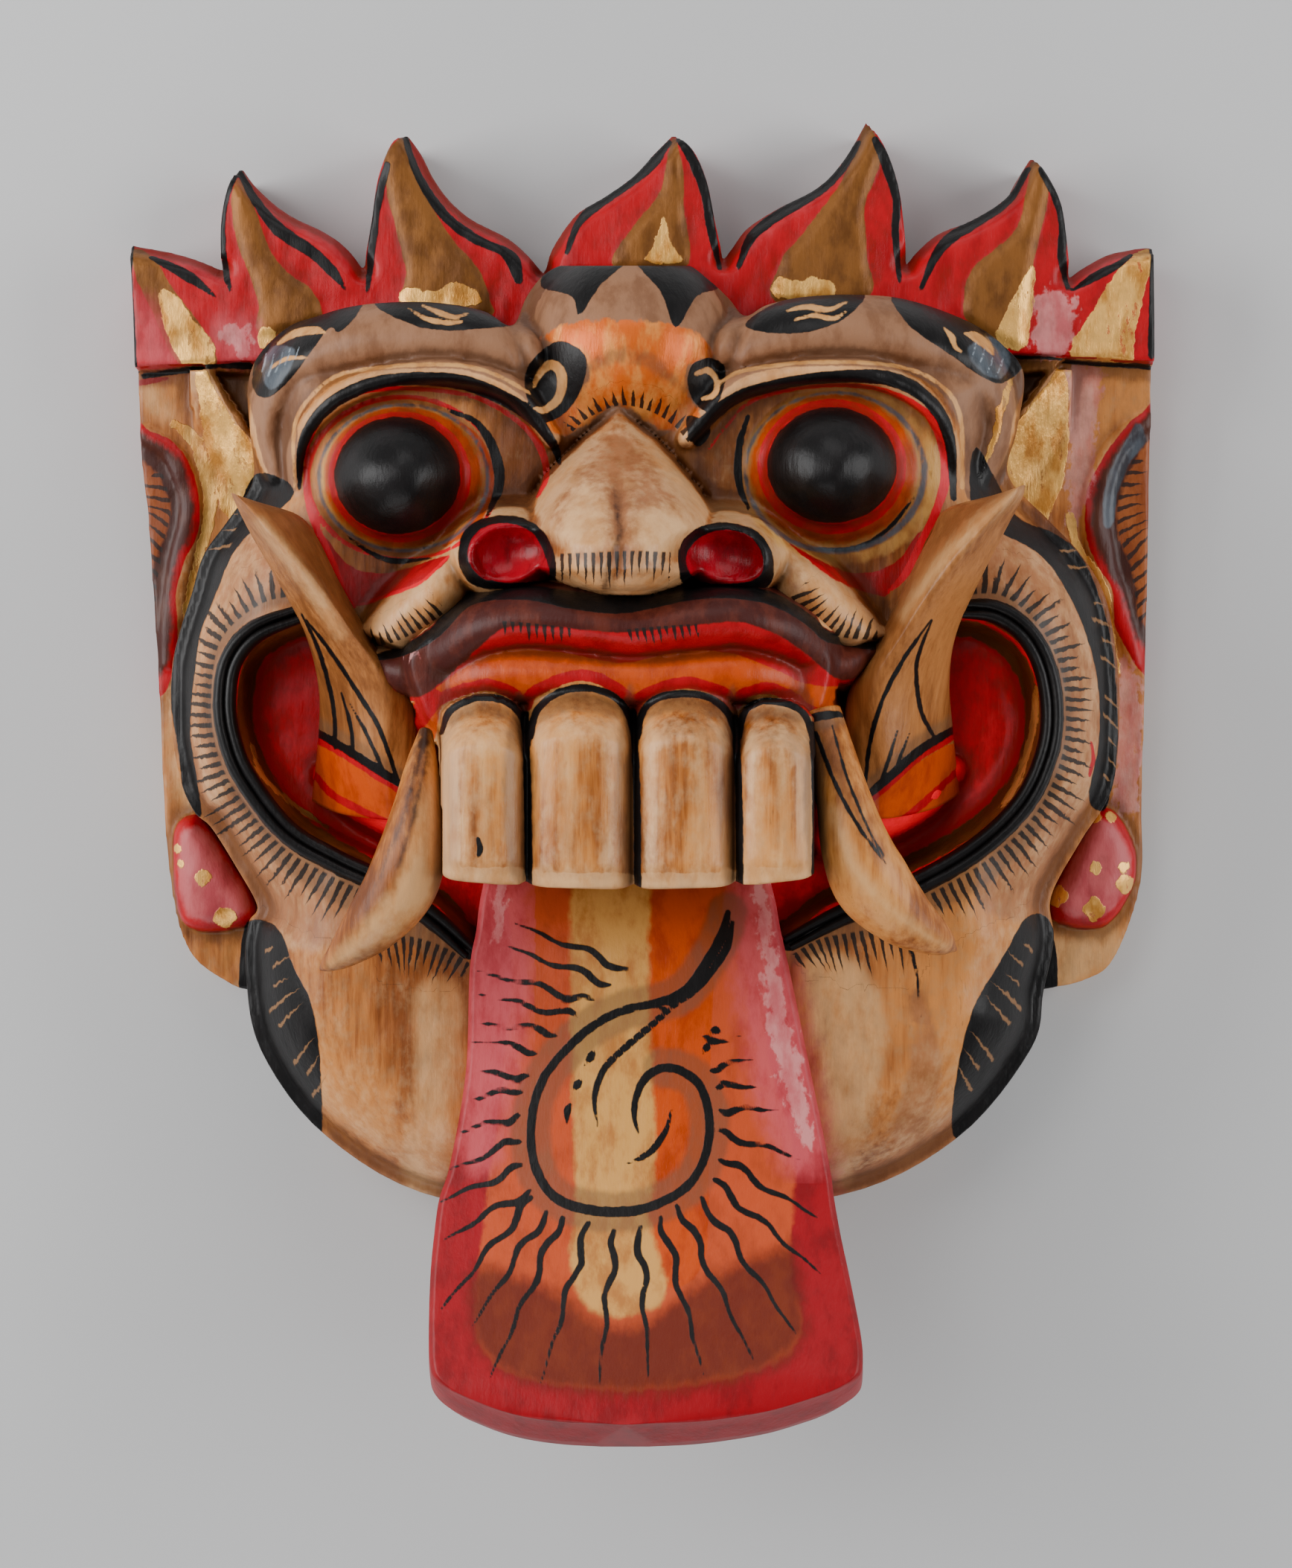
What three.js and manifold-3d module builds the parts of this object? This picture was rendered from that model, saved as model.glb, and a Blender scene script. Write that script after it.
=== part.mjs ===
import * as THREE from 'three'
import { mergeVertices } from 'three/addons/utils/BufferGeometryUtils.js'
import Module from 'manifold-3d'

// A carved rangda mask lying on its back, face up. Lengths are in millimetres: +X runs to the right of the
// face as it is looked at, +Y towards the crown and +Z out of the face. The hollow back's rim lies on z = 0.

// Driving dimensions.
const maskWidth = 255
const earThick = 19
const crownThick = 26
const browTop = 66
const cheekTop = 62
const eyeTop = 85
const noseTop = 113
const lipTop = 102
const teethTop = 108
const tuskTop = 88
const tongueTop = 99
const tongueThick = 15
const mouthFloor = 36
const hollowDepth = 48
const wallThick = 20

// The front is laid out on a plan sheet, drawn as it is seen from straight above. A plan point is [u, v]: u runs
// to the right and v down. The sheet is true to scale up to the height of the slab's face, and what stands higher
// is drawn larger, as it comes nearer to the eye.
const sheet = { left: 173, right: 1550, midU: 868, midV: 1053.5, trueAt: 24, seenFrom: 824 }
const unitsPerMm = (sheet.right - sheet.left) / maskWidth
const blockMiddle = { x: -1.2, y: 6.4 }

const wasm = await Module()
wasm.setup()

// Where plan point (u, v) lies in space at height z.
function at(u, v, z) {
  const scale = (sheet.seenFrom - Math.max(z, sheet.trueAt)) / (sheet.seenFrom - sheet.trueAt) / unitsPerMm
  return new THREE.Vector3(
    (u - sheet.midU) * scale - blockMiddle.x,
    (sheet.midV - v) * scale - blockMiddle.y,
    z,
  )
}

// A closed geometry as a solid, turned the right way out.
function toSolid(geometry) {
  const bare = geometry.clone()
  bare.deleteAttribute('normal')
  bare.deleteAttribute('uv')
  const merged = mergeVertices(bare, 1e-4)
  const vertProperties = new Float32Array(merged.attributes.position.array)
  const triVerts = new Uint32Array(merged.index.array)
  if (signedVolume(vertProperties, triVerts) < 0) triVerts.reverse()
  return new wasm.Manifold(new wasm.Mesh({ numProp: 3, vertProperties, triVerts }))
}

function signedVolume(positions, triangles) {
  const corners = [new THREE.Vector3(), new THREE.Vector3(), new THREE.Vector3()]
  let total = 0
  for (let t = 0; t < triangles.length; t += 3) {
    corners.forEach((corner, i) => corner.fromArray(positions, triangles[t + i] * 3))
    total += corners[0].dot(corners[1].clone().cross(corners[2])) / 6
  }
  return total
}

// A closed body through rings of points. All rings have the same number of points, and flat ends close it.
function loft(rings, capTriangles) {
  const count = rings[0].length
  const positions = rings.flat().flatMap((point) => point.toArray())
  const index = []
  for (let ring = 0; ring + 1 < rings.length; ring += 1) {
    for (let i = 0; i < count; i += 1) {
      const a = ring * count + i
      const b = ring * count + ((i + 1) % count)
      index.push(a, b, b + count, a, b + count, a + count)
    }
  }
  const top = (rings.length - 1) * count
  for (const [a, b, c] of capTriangles) {
    index.push(a, c, b, top + a, top + b, top + c)
  }
  const geometry = new THREE.BufferGeometry()
  geometry.setAttribute('position', new THREE.Float32BufferAttribute(positions, 3))
  geometry.setIndex(index)
  return toSolid(geometry)
}

// Triangles that fan out from a ring's first point, for a convex end.
function fan(count) {
  return Array.from({ length: count - 2 }, (_, i) => [0, i + 1, i + 2])
}

// A smooth closed outline through plan points, as count plan points.
function outline(points, count) {
  const curve = new THREE.CatmullRomCurve3(points.map(([u, v]) => new THREE.Vector3(u, v, 0)), true)
  return curve.getSpacedPoints(count).slice(0, count).map(({ x, y }) => [x, y])
}

// A body of level rings: one outline, drawn in towards its middle by each level's share.
function stack(points, middle, levels) {
  const capTriangles = THREE.ShapeUtils.triangulateShape(points.map(([u, v]) => new THREE.Vector2(u, v)), [])
  const rings = levels.map(({ z, shareU, shareV }) => points.map(([u, v]) => at(
    middle[0] + (u - middle[0]) * shareU,
    middle[1] + (v - middle[1]) * (shareV ?? shareU),
    z,
  )))
  return loft(rings, capTriangles)
}

// A round bar along stations { u, v, z, wide, deep }: half its width in plan units and half its depth.
function bar(stations, steps, sides = 8) {
  const path = new THREE.CatmullRomCurve3(stations.map(({ u, v, z }) => at(u, v, z)))
  const size = new THREE.CatmullRomCurve3(stations.map(({ wide, deep }) => new THREE.Vector3(wide, deep, 0)))
  const rings = []
  for (let step = 0; step <= steps; step += 1) {
    const t = step / steps
    const middle = path.getPoint(t)
    const along = path.getTangent(t)
    const across = new THREE.Vector3(-along.y, along.x, 0).normalize()
    const up = along.clone().cross(across)
    const { x: wide, y: deep } = size.getPoint(t)
    rings.push(Array.from({ length: sides }, (_, i) => {
      const angle = (i / sides) * Math.PI * 2
      return middle.clone()
        .addScaledVector(across, (Math.cos(angle) * Math.max(wide, 2)) / unitsPerMm)
        .addScaledVector(up, Math.sin(angle) * Math.max(deep, 0.4))
    }))
  }
  return loft(rings, fan(sides))
}

// A ball drawn out to radii rx, ry (plan units) and rz, turned in plan by turn degrees.
function ball({ u, v, z, rx, ry, rz, turn = 0, segments = 14 }) {
  const geometry = new THREE.SphereGeometry(1, segments, Math.round(segments * 0.6))
  geometry.rotateX(Math.PI / 2)
  geometry.scale(rx / unitsPerMm, ry / unitsPerMm, rz)
  geometry.rotateZ(THREE.MathUtils.degToRad(turn))
  geometry.translate(...at(u, v, z).toArray())
  return toSolid(geometry)
}

// The board behind everything: an upright plate from z = 0 to its thickness.
function plate(shape, thick) {
  const geometry = new THREE.ExtrudeGeometry(shape, { depth: thick, bevelEnabled: false, curveSegments: 4 })
  return toSolid(geometry)
}

function onSlab([u, v]) {
  const { x, y } = at(u, v, sheet.trueAt)
  return new THREE.Vector2(x, y)
}

// Each flame of the crown: its left foot, a point of its rising side, its tip, two points of its falling side.
const flames = [
  [[297, 362], [301, 275], [322, 222], [368, 274], [448, 320]],
  [[488, 362], [503, 262], [546, 178], [592, 252], [662, 308]],
  [[730, 362], [790, 273], [905, 178], [942, 225], [962, 300]],
  [[972, 348], [1066, 268], [1165, 161], [1196, 213], [1215, 300]],
  [[1219, 355], [1316, 288], [1388, 208], [1419, 255], [1434, 330]],
]
const crownFoot = { left: [185, 500], right: [1550, 490], leftTop: [173, 327], rightTop: [1550, 329] }

// The crown's upper edge, from its left corner to its right one.
function drawCrownEdge(shape) {
  shape.lineTo(...onSlab(crownFoot.leftTop).toArray())
  shape.quadraticCurveTo(...onSlab([230, 332]).toArray(), ...onSlab(flames[0][0]).toArray())
  flames.forEach(([, rise, tip, fall, foot], i) => {
    const nextFoot = flames[i + 1]?.[0] ?? [1438, 372]
    shape.splineThru([rise, tip].map(onSlab))
    shape.splineThru([fall, foot, nextFoot].map(onSlab))
  })
  shape.quadraticCurveTo(...onSlab([1500, 332]).toArray(), ...onSlab(crownFoot.rightTop).toArray())
}

function crown() {
  const shape = new THREE.Shape([onSlab(crownFoot.left)])
  drawCrownEdge(shape)
  shape.lineTo(...onSlab(crownFoot.right).toArray())
  return plate(shape, crownThick)
}

// The ears' slab, behind the face from the crown down to the lobes.
function earSlab() {
  const shape = new THREE.Shape([onSlab(crownFoot.left)])
  shape.splineThru([[195, 700], [208, 900], [221, 1151], [247, 1273], [303, 1322], [341, 1335]].map(onSlab))
  shape.lineTo(...onSlab([1402, 1332]).toArray())
  shape.splineThru([[1460, 1319], [1501, 1289], [1537, 1187], [1539, 1070], [1546, 780]].map(onSlab))
  shape.lineTo(...onSlab(crownFoot.right).toArray())
  return plate(shape, earThick)
}

// The face's mass: brows at the top, ring band round the mouth, jaw at the bottom.
const faceMiddle = [866, 980]
const faceEdge = outline([
  [868, 385], [1150, 390], [1330, 425], [1378, 520], [1355, 640], [1450, 745], [1497, 870], [1500, 1020],
  [1440, 1180], [1402, 1332], [1385, 1410], [1285, 1530], [1125, 1607], [866, 1622], [600, 1612], [440, 1528],
  [350, 1410], [336, 1300], [290, 1170], [238, 1020], [240, 860], [308, 690], [338, 600], [330, 480],
  [430, 412], [620, 392],
], 50)

function faceMass() {
  return stack(faceEdge, faceMiddle, [
    { z: 0, shareU: 1 },
    { z: earThick + 7, shareU: 1 },
    { z: 42, shareU: 0.955, shareV: 0.965 },
    { z: 54, shareU: 0.9, shareV: 0.92 },
    { z: cheekTop, shareU: 0.8, shareV: 0.83 },
    { z: cheekTop + 2, shareU: 0.66, shareV: 0.7 },
  ])
}

function hollow() {
  const margin = 1 - wallThick * unitsPerMm / 640
  return stack(faceEdge, faceMiddle, [
    { z: -1, shareU: margin },
    { z: 12, shareU: margin - 0.02 },
    { z: mouthFloor - 12, shareU: margin - 0.12 },
    { z: mouthFloor - 9, shareU: margin - 0.26 },
  ]).add(ball({ u: 855, v: 650, z: 14, rx: 390, ry: 190, rz: hollowDepth - 14 }))
}

// Brow ridges and the lids below them.
function brows() {
  const left = bar([
    { u: 690, v: 478, z: 54, wide: 34, deep: 11 },
    { u: 600, v: 452, z: 54, wide: 44, deep: 13 },
    { u: 490, v: 456, z: 52, wide: 45, deep: 13 },
    { u: 400, v: 492, z: 47, wide: 42, deep: 13 },
    { u: 368, v: 560, z: 45, wide: 26, deep: 11 },
    { u: 375, v: 625, z: 45, wide: 14, deep: 8 },
  ], 12)
  const right = bar([
    { u: 990, v: 470, z: 54, wide: 32, deep: 11 },
    { u: 1080, v: 446, z: 54, wide: 43, deep: 13 },
    { u: 1190, v: 450, z: 52, wide: 46, deep: 13 },
    { u: 1290, v: 486, z: 47, wide: 44, deep: 13 },
    { u: 1330, v: 560, z: 45, wide: 27, deep: 11 },
    { u: 1314, v: 640, z: 45, wide: 14, deep: 8 },
  ], 12)
  return [left, right, ball({ u: 840, v: 465, z: 46, rx: 148, ry: 112, rz: browTop - 40, segments: 16 })]
}

const eyes = [
  { u: 536, v: 642, rx: 118, ry: 104 },
  { u: 1122, v: 628, rx: 118, ry: 104 },
]

function eyeSockets() {
  return eyes.map(({ u, v }) => ball({ u, v, z: eyeTop, rx: 158, ry: 138, rz: 27, segments: 16 }))
}

function eyeballs() {
  return eyes.map(({ u, v, rx, ry }) => ball({ u, v, z: 54, rx, ry, rz: eyeTop - 54, segments: 18 }))
}

function lids() {
  const left = bar([
    { u: 404, v: 668, z: 52, wide: 12, deep: 9 },
    { u: 412, v: 585, z: 57, wide: 16, deep: 9 },
    { u: 480, v: 525, z: 61, wide: 17, deep: 10 },
    { u: 590, v: 508, z: 63, wide: 17, deep: 10 },
    { u: 690, v: 535, z: 63, wide: 16, deep: 10 },
    { u: 738, v: 600, z: 62, wide: 12, deep: 10 },
  ], 12, 6)
  const right = bar([
    { u: 925, v: 590, z: 62, wide: 12, deep: 10 },
    { u: 985, v: 528, z: 63, wide: 16, deep: 10 },
    { u: 1090, v: 506, z: 63, wide: 17, deep: 10 },
    { u: 1195, v: 516, z: 61, wide: 17, deep: 10 },
    { u: 1262, v: 572, z: 57, wide: 16, deep: 9 },
    { u: 1278, v: 662, z: 52, wide: 12, deep: 9 },
  ], 12, 6)
  return [left, right]
}

// The shield-shaped nose, its wings beside it and the rolls that run from the wings over the cheeks.
const noseMiddle = [845, 742]
const noseEdge = outline([
  [832, 560], [908, 632], [968, 690], [972, 745], [930, 790], [848, 798], [760, 790], [700, 745], [702, 690],
  [758, 625],
], 18)

function nose() {
  return stack(noseEdge, noseMiddle, [
    { z: 50, shareU: 1 },
    { z: 78, shareU: 0.98 },
    { z: 96, shareU: 0.84 },
    { z: 107, shareU: 0.62, shareV: 0.6 },
    { z: noseTop, shareU: 0.34, shareV: 0.26 },
  ])
}

function noseWings() {
  return [
    ball({ u: 680, v: 742, z: 80, rx: 72, ry: 54, rz: 20, turn: -14 }),
    ball({ u: 980, v: 746, z: 80, rx: 74, ry: 52, rz: 20, turn: 12 }),
  ]
}

function nostrils() {
  return [
    ball({ u: 683, v: 745, z: 100, rx: 50, ry: 36, rz: 10, turn: -18, segments: 12 }),
    ball({ u: 974, v: 748, z: 100, rx: 50, ry: 34, rz: 10, turn: 14, segments: 12 }),
  ]
}

function cheekRolls() {
  const left = bar([
    { u: 632, v: 745, z: 74, wide: 26, deep: 9 },
    { u: 590, v: 795, z: 76, wide: 36, deep: 10 },
    { u: 535, v: 834, z: 74, wide: 34, deep: 10 },
    { u: 480, v: 858, z: 68, wide: 16, deep: 6 },
  ], 8)
  const right = bar([
    { u: 1038, v: 740, z: 74, wide: 26, deep: 9 },
    { u: 1080, v: 792, z: 76, wide: 36, deep: 10 },
    { u: 1132, v: 828, z: 74, wide: 34, deep: 10 },
    { u: 1190, v: 856, z: 68, wide: 16, deep: 6 },
  ], 8)
  return [left, right]
}

// The mouth: a wide bowl inside a raised rim, with the jaws standing in it.
const mouthEdge = outline([
  [868, 835], [1180, 828], [1305, 835], [1372, 875], [1400, 955], [1382, 1040], [1318, 1112], [1225, 1168],
  [1120, 1212], [1048, 1262], [868, 1300], [640, 1268], [585, 1215], [480, 1165], [385, 1105], [330, 1020],
  [316, 945], [336, 872], [402, 834], [520, 828],
], 34)
const mouthMiddle = [862, 1000]

function mouthBowl() {
  return stack(mouthEdge, mouthMiddle, [
    { z: 90, shareU: 1.03 },
    { z: 60, shareU: 1 },
    { z: 46, shareU: 0.96 },
    { z: mouthFloor, shareU: 0.87 },
  ])
}

// The rim's left and right sweeps, each open at the tongue.
function mouthRim() {
  const left = bar([
    { u: 392, v: 822, z: 59, wide: 13, deep: 5 },
    { u: 322, v: 872, z: 58, wide: 13, deep: 5 },
    { u: 304, v: 965, z: 58, wide: 13, deep: 5 },
    { u: 345, v: 1075, z: 59, wide: 13, deep: 5 },
    { u: 450, v: 1158, z: 61, wide: 13, deep: 5 },
    { u: 560, v: 1215, z: 62, wide: 12, deep: 5 },
    { u: 632, v: 1278, z: 60, wide: 8, deep: 4 },
  ], 13, 6)
  const right = bar([
    { u: 1292, v: 817, z: 59, wide: 13, deep: 5 },
    { u: 1385, v: 862, z: 58, wide: 13, deep: 5 },
    { u: 1413, v: 955, z: 58, wide: 13, deep: 5 },
    { u: 1382, v: 1072, z: 59, wide: 13, deep: 5 },
    { u: 1270, v: 1168, z: 61, wide: 13, deep: 5 },
    { u: 1130, v: 1222, z: 62, wide: 12, deep: 5 },
    { u: 1058, v: 1268, z: 60, wide: 8, deep: 4 },
  ], 13, 6)
  return [left, right]
}

// The upper jaw's block, with lip and gum on it, carrying teeth and fangs.
function upperJaw() {
  const edge = outline([
    [845, 790], [1060, 800], [1120, 870], [1100, 990], [1088, 1168], [1040, 1180], [845, 1184], [645, 1180],
    [602, 1168], [588, 990], [550, 870], [620, 800],
  ], 28)
  return stack(edge, [845, 985], [
    { z: mouthFloor - 4, shareU: 1 },
    { z: lipTop - 12, shareU: 1 },
    { z: lipTop - 6, shareU: 0.93 },
  ])
}

function upperLip() {
  return bar([
    { u: 506, v: 893, z: 70, wide: 12, deep: 5 },
    { u: 560, v: 895, z: 77, wide: 36, deep: 9 },
    { u: 625, v: 848, z: 88, wide: 42, deep: 11 },
    { u: 700, v: 832, z: lipTop - 11, wide: 40, deep: 11 },
    { u: 850, v: 842, z: lipTop - 10, wide: 42, deep: 11 },
    { u: 995, v: 830, z: lipTop - 11, wide: 40, deep: 11 },
    { u: 1070, v: 858, z: 88, wide: 42, deep: 11 },
    { u: 1125, v: 886, z: 79, wide: 32, deep: 9 },
    { u: 1166, v: 880, z: 71, wide: 12, deep: 5 },
  ], 18)
}

function gum() {
  return bar([
    { u: 566, v: 962, z: 78, wide: 16, deep: 8 },
    { u: 620, v: 918, z: 86, wide: 28, deep: 10 },
    { u: 740, v: 902, z: 89, wide: 28, deep: 11 },
    { u: 940, v: 902, z: 89, wide: 28, deep: 11 },
    { u: 1060, v: 926, z: 86, wide: 28, deep: 10 },
    { u: 1112, v: 960, z: 78, wide: 16, deep: 8 },
  ], 12, 6)
}

// Four upright teeth, each a round-backed column with a blunt foot.
const teethAcross = [
  { u: 650, wide: 58, top: 948, foot: 1186 },
  { u: 779, wide: 71, top: 936, foot: 1194 },
  { u: 920, wide: 66, top: 934, foot: 1194 },
  { u: 1042, wide: 56, top: 946, foot: 1186 },
]

function teeth() {
  return teethAcross.map(({ u, wide, top, foot }) => {
    const depth = 15
    return bar([
      { u, v: top, z: teethTop - depth - 4, wide: wide * 0.55, deep: depth - 5 },
      { u, v: top + 28, z: teethTop - depth - 1, wide: wide * 0.92, deep: depth - 1 },
      { u, v: 1070, z: teethTop - depth, wide, deep: depth },
      { u, v: foot - 12, z: teethTop - depth, wide, deep: depth },
      { u, v: foot, z: teethTop - depth, wide: wide * 0.9, deep: depth - 1.5 },
    ], 9, 10)
  })
}

function fangs() {
  const left = bar([
    { u: 584, v: 980, z: 90, wide: 14, deep: 6 },
    { u: 572, v: 1060, z: 91, wide: 30, deep: 8 },
    { u: 558, v: 1140, z: 91, wide: 42, deep: 9 },
    { u: 520, v: 1210, z: 88, wide: 44, deep: 8.5 },
    { u: 478, v: 1262, z: 84, wide: 28, deep: 6 },
    { u: 438, v: 1298, z: 80, wide: 6, deep: 2 },
  ], 12)
  const right = bar([
    { u: 1098, v: 966, z: 90, wide: 14, deep: 6 },
    { u: 1118, v: 1050, z: 91, wide: 30, deep: 8 },
    { u: 1142, v: 1125, z: 91, wide: 42, deep: 9 },
    { u: 1182, v: 1192, z: 88, wide: 42, deep: 8.5 },
    { u: 1232, v: 1240, z: 84, wide: 28, deep: 6 },
    { u: 1276, v: 1274, z: 80, wide: 6, deep: 2 },
  ], 12)
  return [left, right]
}

// A tusk rises from the lower gum and leans over the cheek. Each station goes round its section: outer edge,
// ridge, inner seam and back, with a full belly between edge and ridge.
function tusk(stations) {
  const tracks = stations[0].map((_, i) => new THREE.CatmullRomCurve3(stations.map((ring) => at(...ring[i]))))
  const steps = 10
  const rings = Array.from({ length: steps + 1 }, (_, step) => {
    const [edge, ridge, seam, back] = tracks.map((track) => track.getPoint(step / steps))
    const belly = edge.clone().lerp(ridge, 0.5)
    belly.z += 2.5 * (1 - step / steps)
    return [edge, belly, ridge, seam, back]
  })
  return loft(rings, fan(rings[0].length))
}

function tusks() {
  const left = tusk([
    [[425, 1062, 44], [475, 1090, 62], [540, 1095, 66], [490, 1080, 34]],
    [[430, 985, 50], [480, 1010, 70], [548, 1030, 68], [492, 1010, 34]],
    [[428, 920, 56], [515, 925, 76], [556, 945, 66], [490, 935, 38]],
    [[402, 830, 62], [458, 828, 84], [482, 832, 66], [440, 835, 46]],
    [[362, 760, 66], [400, 758, tuskTop], [446, 764, 62], [405, 762, 52]],
    [[330, 703, 68], [355, 705, tuskTop], [414, 700, 62], [370, 705, 54]],
    [[314, 668, 74], [320, 668, tuskTop - 3], [345, 668, 72], [325, 672, 66]],
  ])
  const right = tusk([
    [[1282, 1058, 44], [1225, 1095, 62], [1155, 1092, 66], [1212, 1080, 34]],
    [[1280, 985, 50], [1215, 1010, 70], [1148, 1030, 68], [1205, 1010, 34]],
    [[1276, 915, 56], [1185, 925, 76], [1140, 940, 66], [1205, 935, 38]],
    [[1292, 830, 62], [1228, 825, 84], [1200, 822, 66], [1245, 835, 46]],
    [[1330, 752, 66], [1285, 752, tuskTop], [1236, 752, 62], [1280, 758, 52]],
    [[1357, 698, 68], [1330, 700, tuskTop], [1268, 686, 62], [1315, 700, 54]],
    [[1375, 657, 74], [1368, 656, tuskTop - 3], [1340, 657, 72], [1360, 662, 66]],
  ])
  return [left, right]
}

function lowerGums() {
  const left = bar([
    { u: 420, v: 1030, z: 44, wide: 20, deep: 9 },
    { u: 475, v: 1068, z: 52, wide: 28, deep: 12 },
    { u: 545, v: 1100, z: 58, wide: 26, deep: 14 },
  ], 5)
  const right = bar([
    { u: 1292, v: 1022, z: 44, wide: 20, deep: 9 },
    { u: 1235, v: 1068, z: 52, wide: 30, deep: 12 },
    { u: 1160, v: 1102, z: 58, wide: 26, deep: 14 },
  ], 5)
  return [left, right]
}

// The tongue leaves the mouth behind the teeth, lies on the chin and sweeps outwards below it. Each station
// gives its edges at the front face, that face's height and how deep it reaches.
function tongue() {
  const stations = [
    { v: 1140, left: 665, right: 1022, z: 62, deep: 30 },
    { v: 1200, left: 648, right: 1040, z: 66, deep: 34 },
    { v: 1305, left: 631, right: 1061, z: 70, deep: 40 },
    { v: 1439, left: 624, right: 1089, z: 72, deep: 44 },
    { v: 1563, left: 604, right: 1114, z: 75, deep: 48 },
    { v: 1625, left: 588, right: 1123, z: 78, deep: 30 },
    { v: 1718, left: 578, right: 1144, z: 84, deep: 21 },
    { v: 1796, left: 576, right: 1158, z: 90, deep: 17 },
    { v: 1845, left: 582, right: 1157, z: 94, deep: tongueThick },
    { v: 1878, left: 623, right: 1098, z: 97, deep: tongueThick },
    { v: 1902, left: 690, right: 1000, z: 98, deep: tongueThick },
    { v: 1914, left: 778, right: 900, z: tongueTop, deep: tongueThick },
  ]
  const underhang = 30
  const rings = stations.map(({ v, left, right, z, deep }) => {
    const lean = v > 1640 ? underhang * (z - 78) / (tongueTop - 78) : 0
    const middle = (left + right) / 2
    return [
      at(left, v, z), at((left + middle) / 2, v, z + 2), at(middle, v, z + 2.5), at((right + middle) / 2, v, z + 2),
      at(right, v, z), at(right, v + lean, z - deep), at(middle, v + lean, z - deep), at(left, v + lean, z - deep),
    ]
  })
  return loft(rings, fan(rings[0].length))
}

// Round lobes with a low dome, one in the lower corner of each ear.
function earKnobs() {
  return [
    ball({ u: 286, v: 1180, z: earThick - 2, rx: 56, ry: 82, rz: 10, turn: 18, segments: 14 }),
    ball({ u: 1470, v: 1172, z: earThick - 2, rx: 58, ry: 84, rz: 10, turn: -18, segments: 14 }),
  ]
}

// The ears' rolled edges.
function auricles() {
  const left = bar([
    { u: 215, v: 560, z: earThick, wide: 16, deep: 4 },
    { u: 240, v: 680, z: earThick, wide: 22, deep: 5 },
    { u: 222, v: 790, z: earThick, wide: 18, deep: 5 },
    { u: 220, v: 900, z: earThick, wide: 8, deep: 3 },
  ], 8, 6)
  const right = bar([
    { u: 1530, v: 560, z: earThick, wide: 14, deep: 4 },
    { u: 1492, v: 660, z: earThick, wide: 24, deep: 5 },
    { u: 1515, v: 780, z: earThick, wide: 20, deep: 5 },
    { u: 1528, v: 885, z: earThick, wide: 8, deep: 3 },
  ], 8, 6)
  return [left, right]
}

// The gilded wedge beside each brow, three-sided and highest near its middle.
function earFacets() {
  const shares = [
    { z: earThick - 2, shareU: 1 },
    { z: earThick + 1, shareU: 1 },
    { z: earThick + 7, shareU: 0.12 },
  ]
  const left = [[258, 503], [340, 500], [362, 610], [312, 702], [275, 640]]
  const right = [[1440, 498], [1440, 660], [1400, 705], [1330, 605], [1362, 500]]
  return [stack(left, [300, 590], shares), stack(right, [1400, 590], shares)]
}

function joined(solids) {
  return solids.reduce((whole, solid) => whole.add(solid))
}

function carve() {
  const shell = joined([crown(), earSlab(), faceMass(), ...earKnobs(), ...auricles(), ...earFacets(), ...brows()])
  const face = joined([shell.subtract(joined(eyeSockets())), ...eyeballs(), ...lids()])
  const open = joined([face, nose(), ...noseWings(), ...cheekRolls()]).subtract(mouthBowl())
  const jaws = joined([open, ...mouthRim(), upperJaw(), upperLip(), gum(), ...teeth(), ...fangs()])
  const whole = joined([jaws, ...lowerGums(), ...tusks(), ...cheekRolls(), tongue()])
  return whole.subtract(joined(nostrils())).subtract(hollow())
}

function toGeometry(solid) {
  const { vertProperties, triVerts } = solid.getMesh()
  const geometry = new THREE.BufferGeometry()
  geometry.setAttribute('position', new THREE.BufferAttribute(new Float32Array(vertProperties), 3))
  geometry.setIndex(new THREE.BufferAttribute(new Uint32Array(triVerts), 1))
  geometry.computeVertexNormals()
  return geometry
}

const paintedWood = new THREE.MeshStandardMaterial({ color: 0xb07a48, roughness: 0.45, metalness: 0 })
const mask = new THREE.Mesh(toGeometry(carve()), paintedWood)
mask.name = 'mask'

const group = new THREE.Group()
group.add(mask)

export default group
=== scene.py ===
import math

import bpy
import numpy as np
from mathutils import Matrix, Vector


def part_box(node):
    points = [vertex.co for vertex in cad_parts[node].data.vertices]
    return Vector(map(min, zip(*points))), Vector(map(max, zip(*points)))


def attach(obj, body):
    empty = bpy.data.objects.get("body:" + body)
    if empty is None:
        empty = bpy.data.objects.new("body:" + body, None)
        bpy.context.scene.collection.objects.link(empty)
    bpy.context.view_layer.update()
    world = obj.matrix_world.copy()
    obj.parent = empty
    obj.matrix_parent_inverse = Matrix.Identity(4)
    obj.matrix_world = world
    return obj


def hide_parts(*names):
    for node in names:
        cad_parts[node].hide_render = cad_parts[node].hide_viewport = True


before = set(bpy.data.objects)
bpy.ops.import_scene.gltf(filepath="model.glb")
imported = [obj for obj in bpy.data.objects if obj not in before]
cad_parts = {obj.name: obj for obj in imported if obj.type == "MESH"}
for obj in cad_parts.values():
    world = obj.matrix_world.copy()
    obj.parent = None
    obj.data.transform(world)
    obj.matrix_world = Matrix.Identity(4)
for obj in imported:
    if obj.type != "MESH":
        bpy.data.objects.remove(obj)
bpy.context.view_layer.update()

import openvdb
from mathutils import Vector

# A carved and painted rangda mask, lying face up. Shapes are worked out in mm and handed over in metres.
blockLow, blockHigh = (np.array(corner) * 1000 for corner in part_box("mask"))

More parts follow.
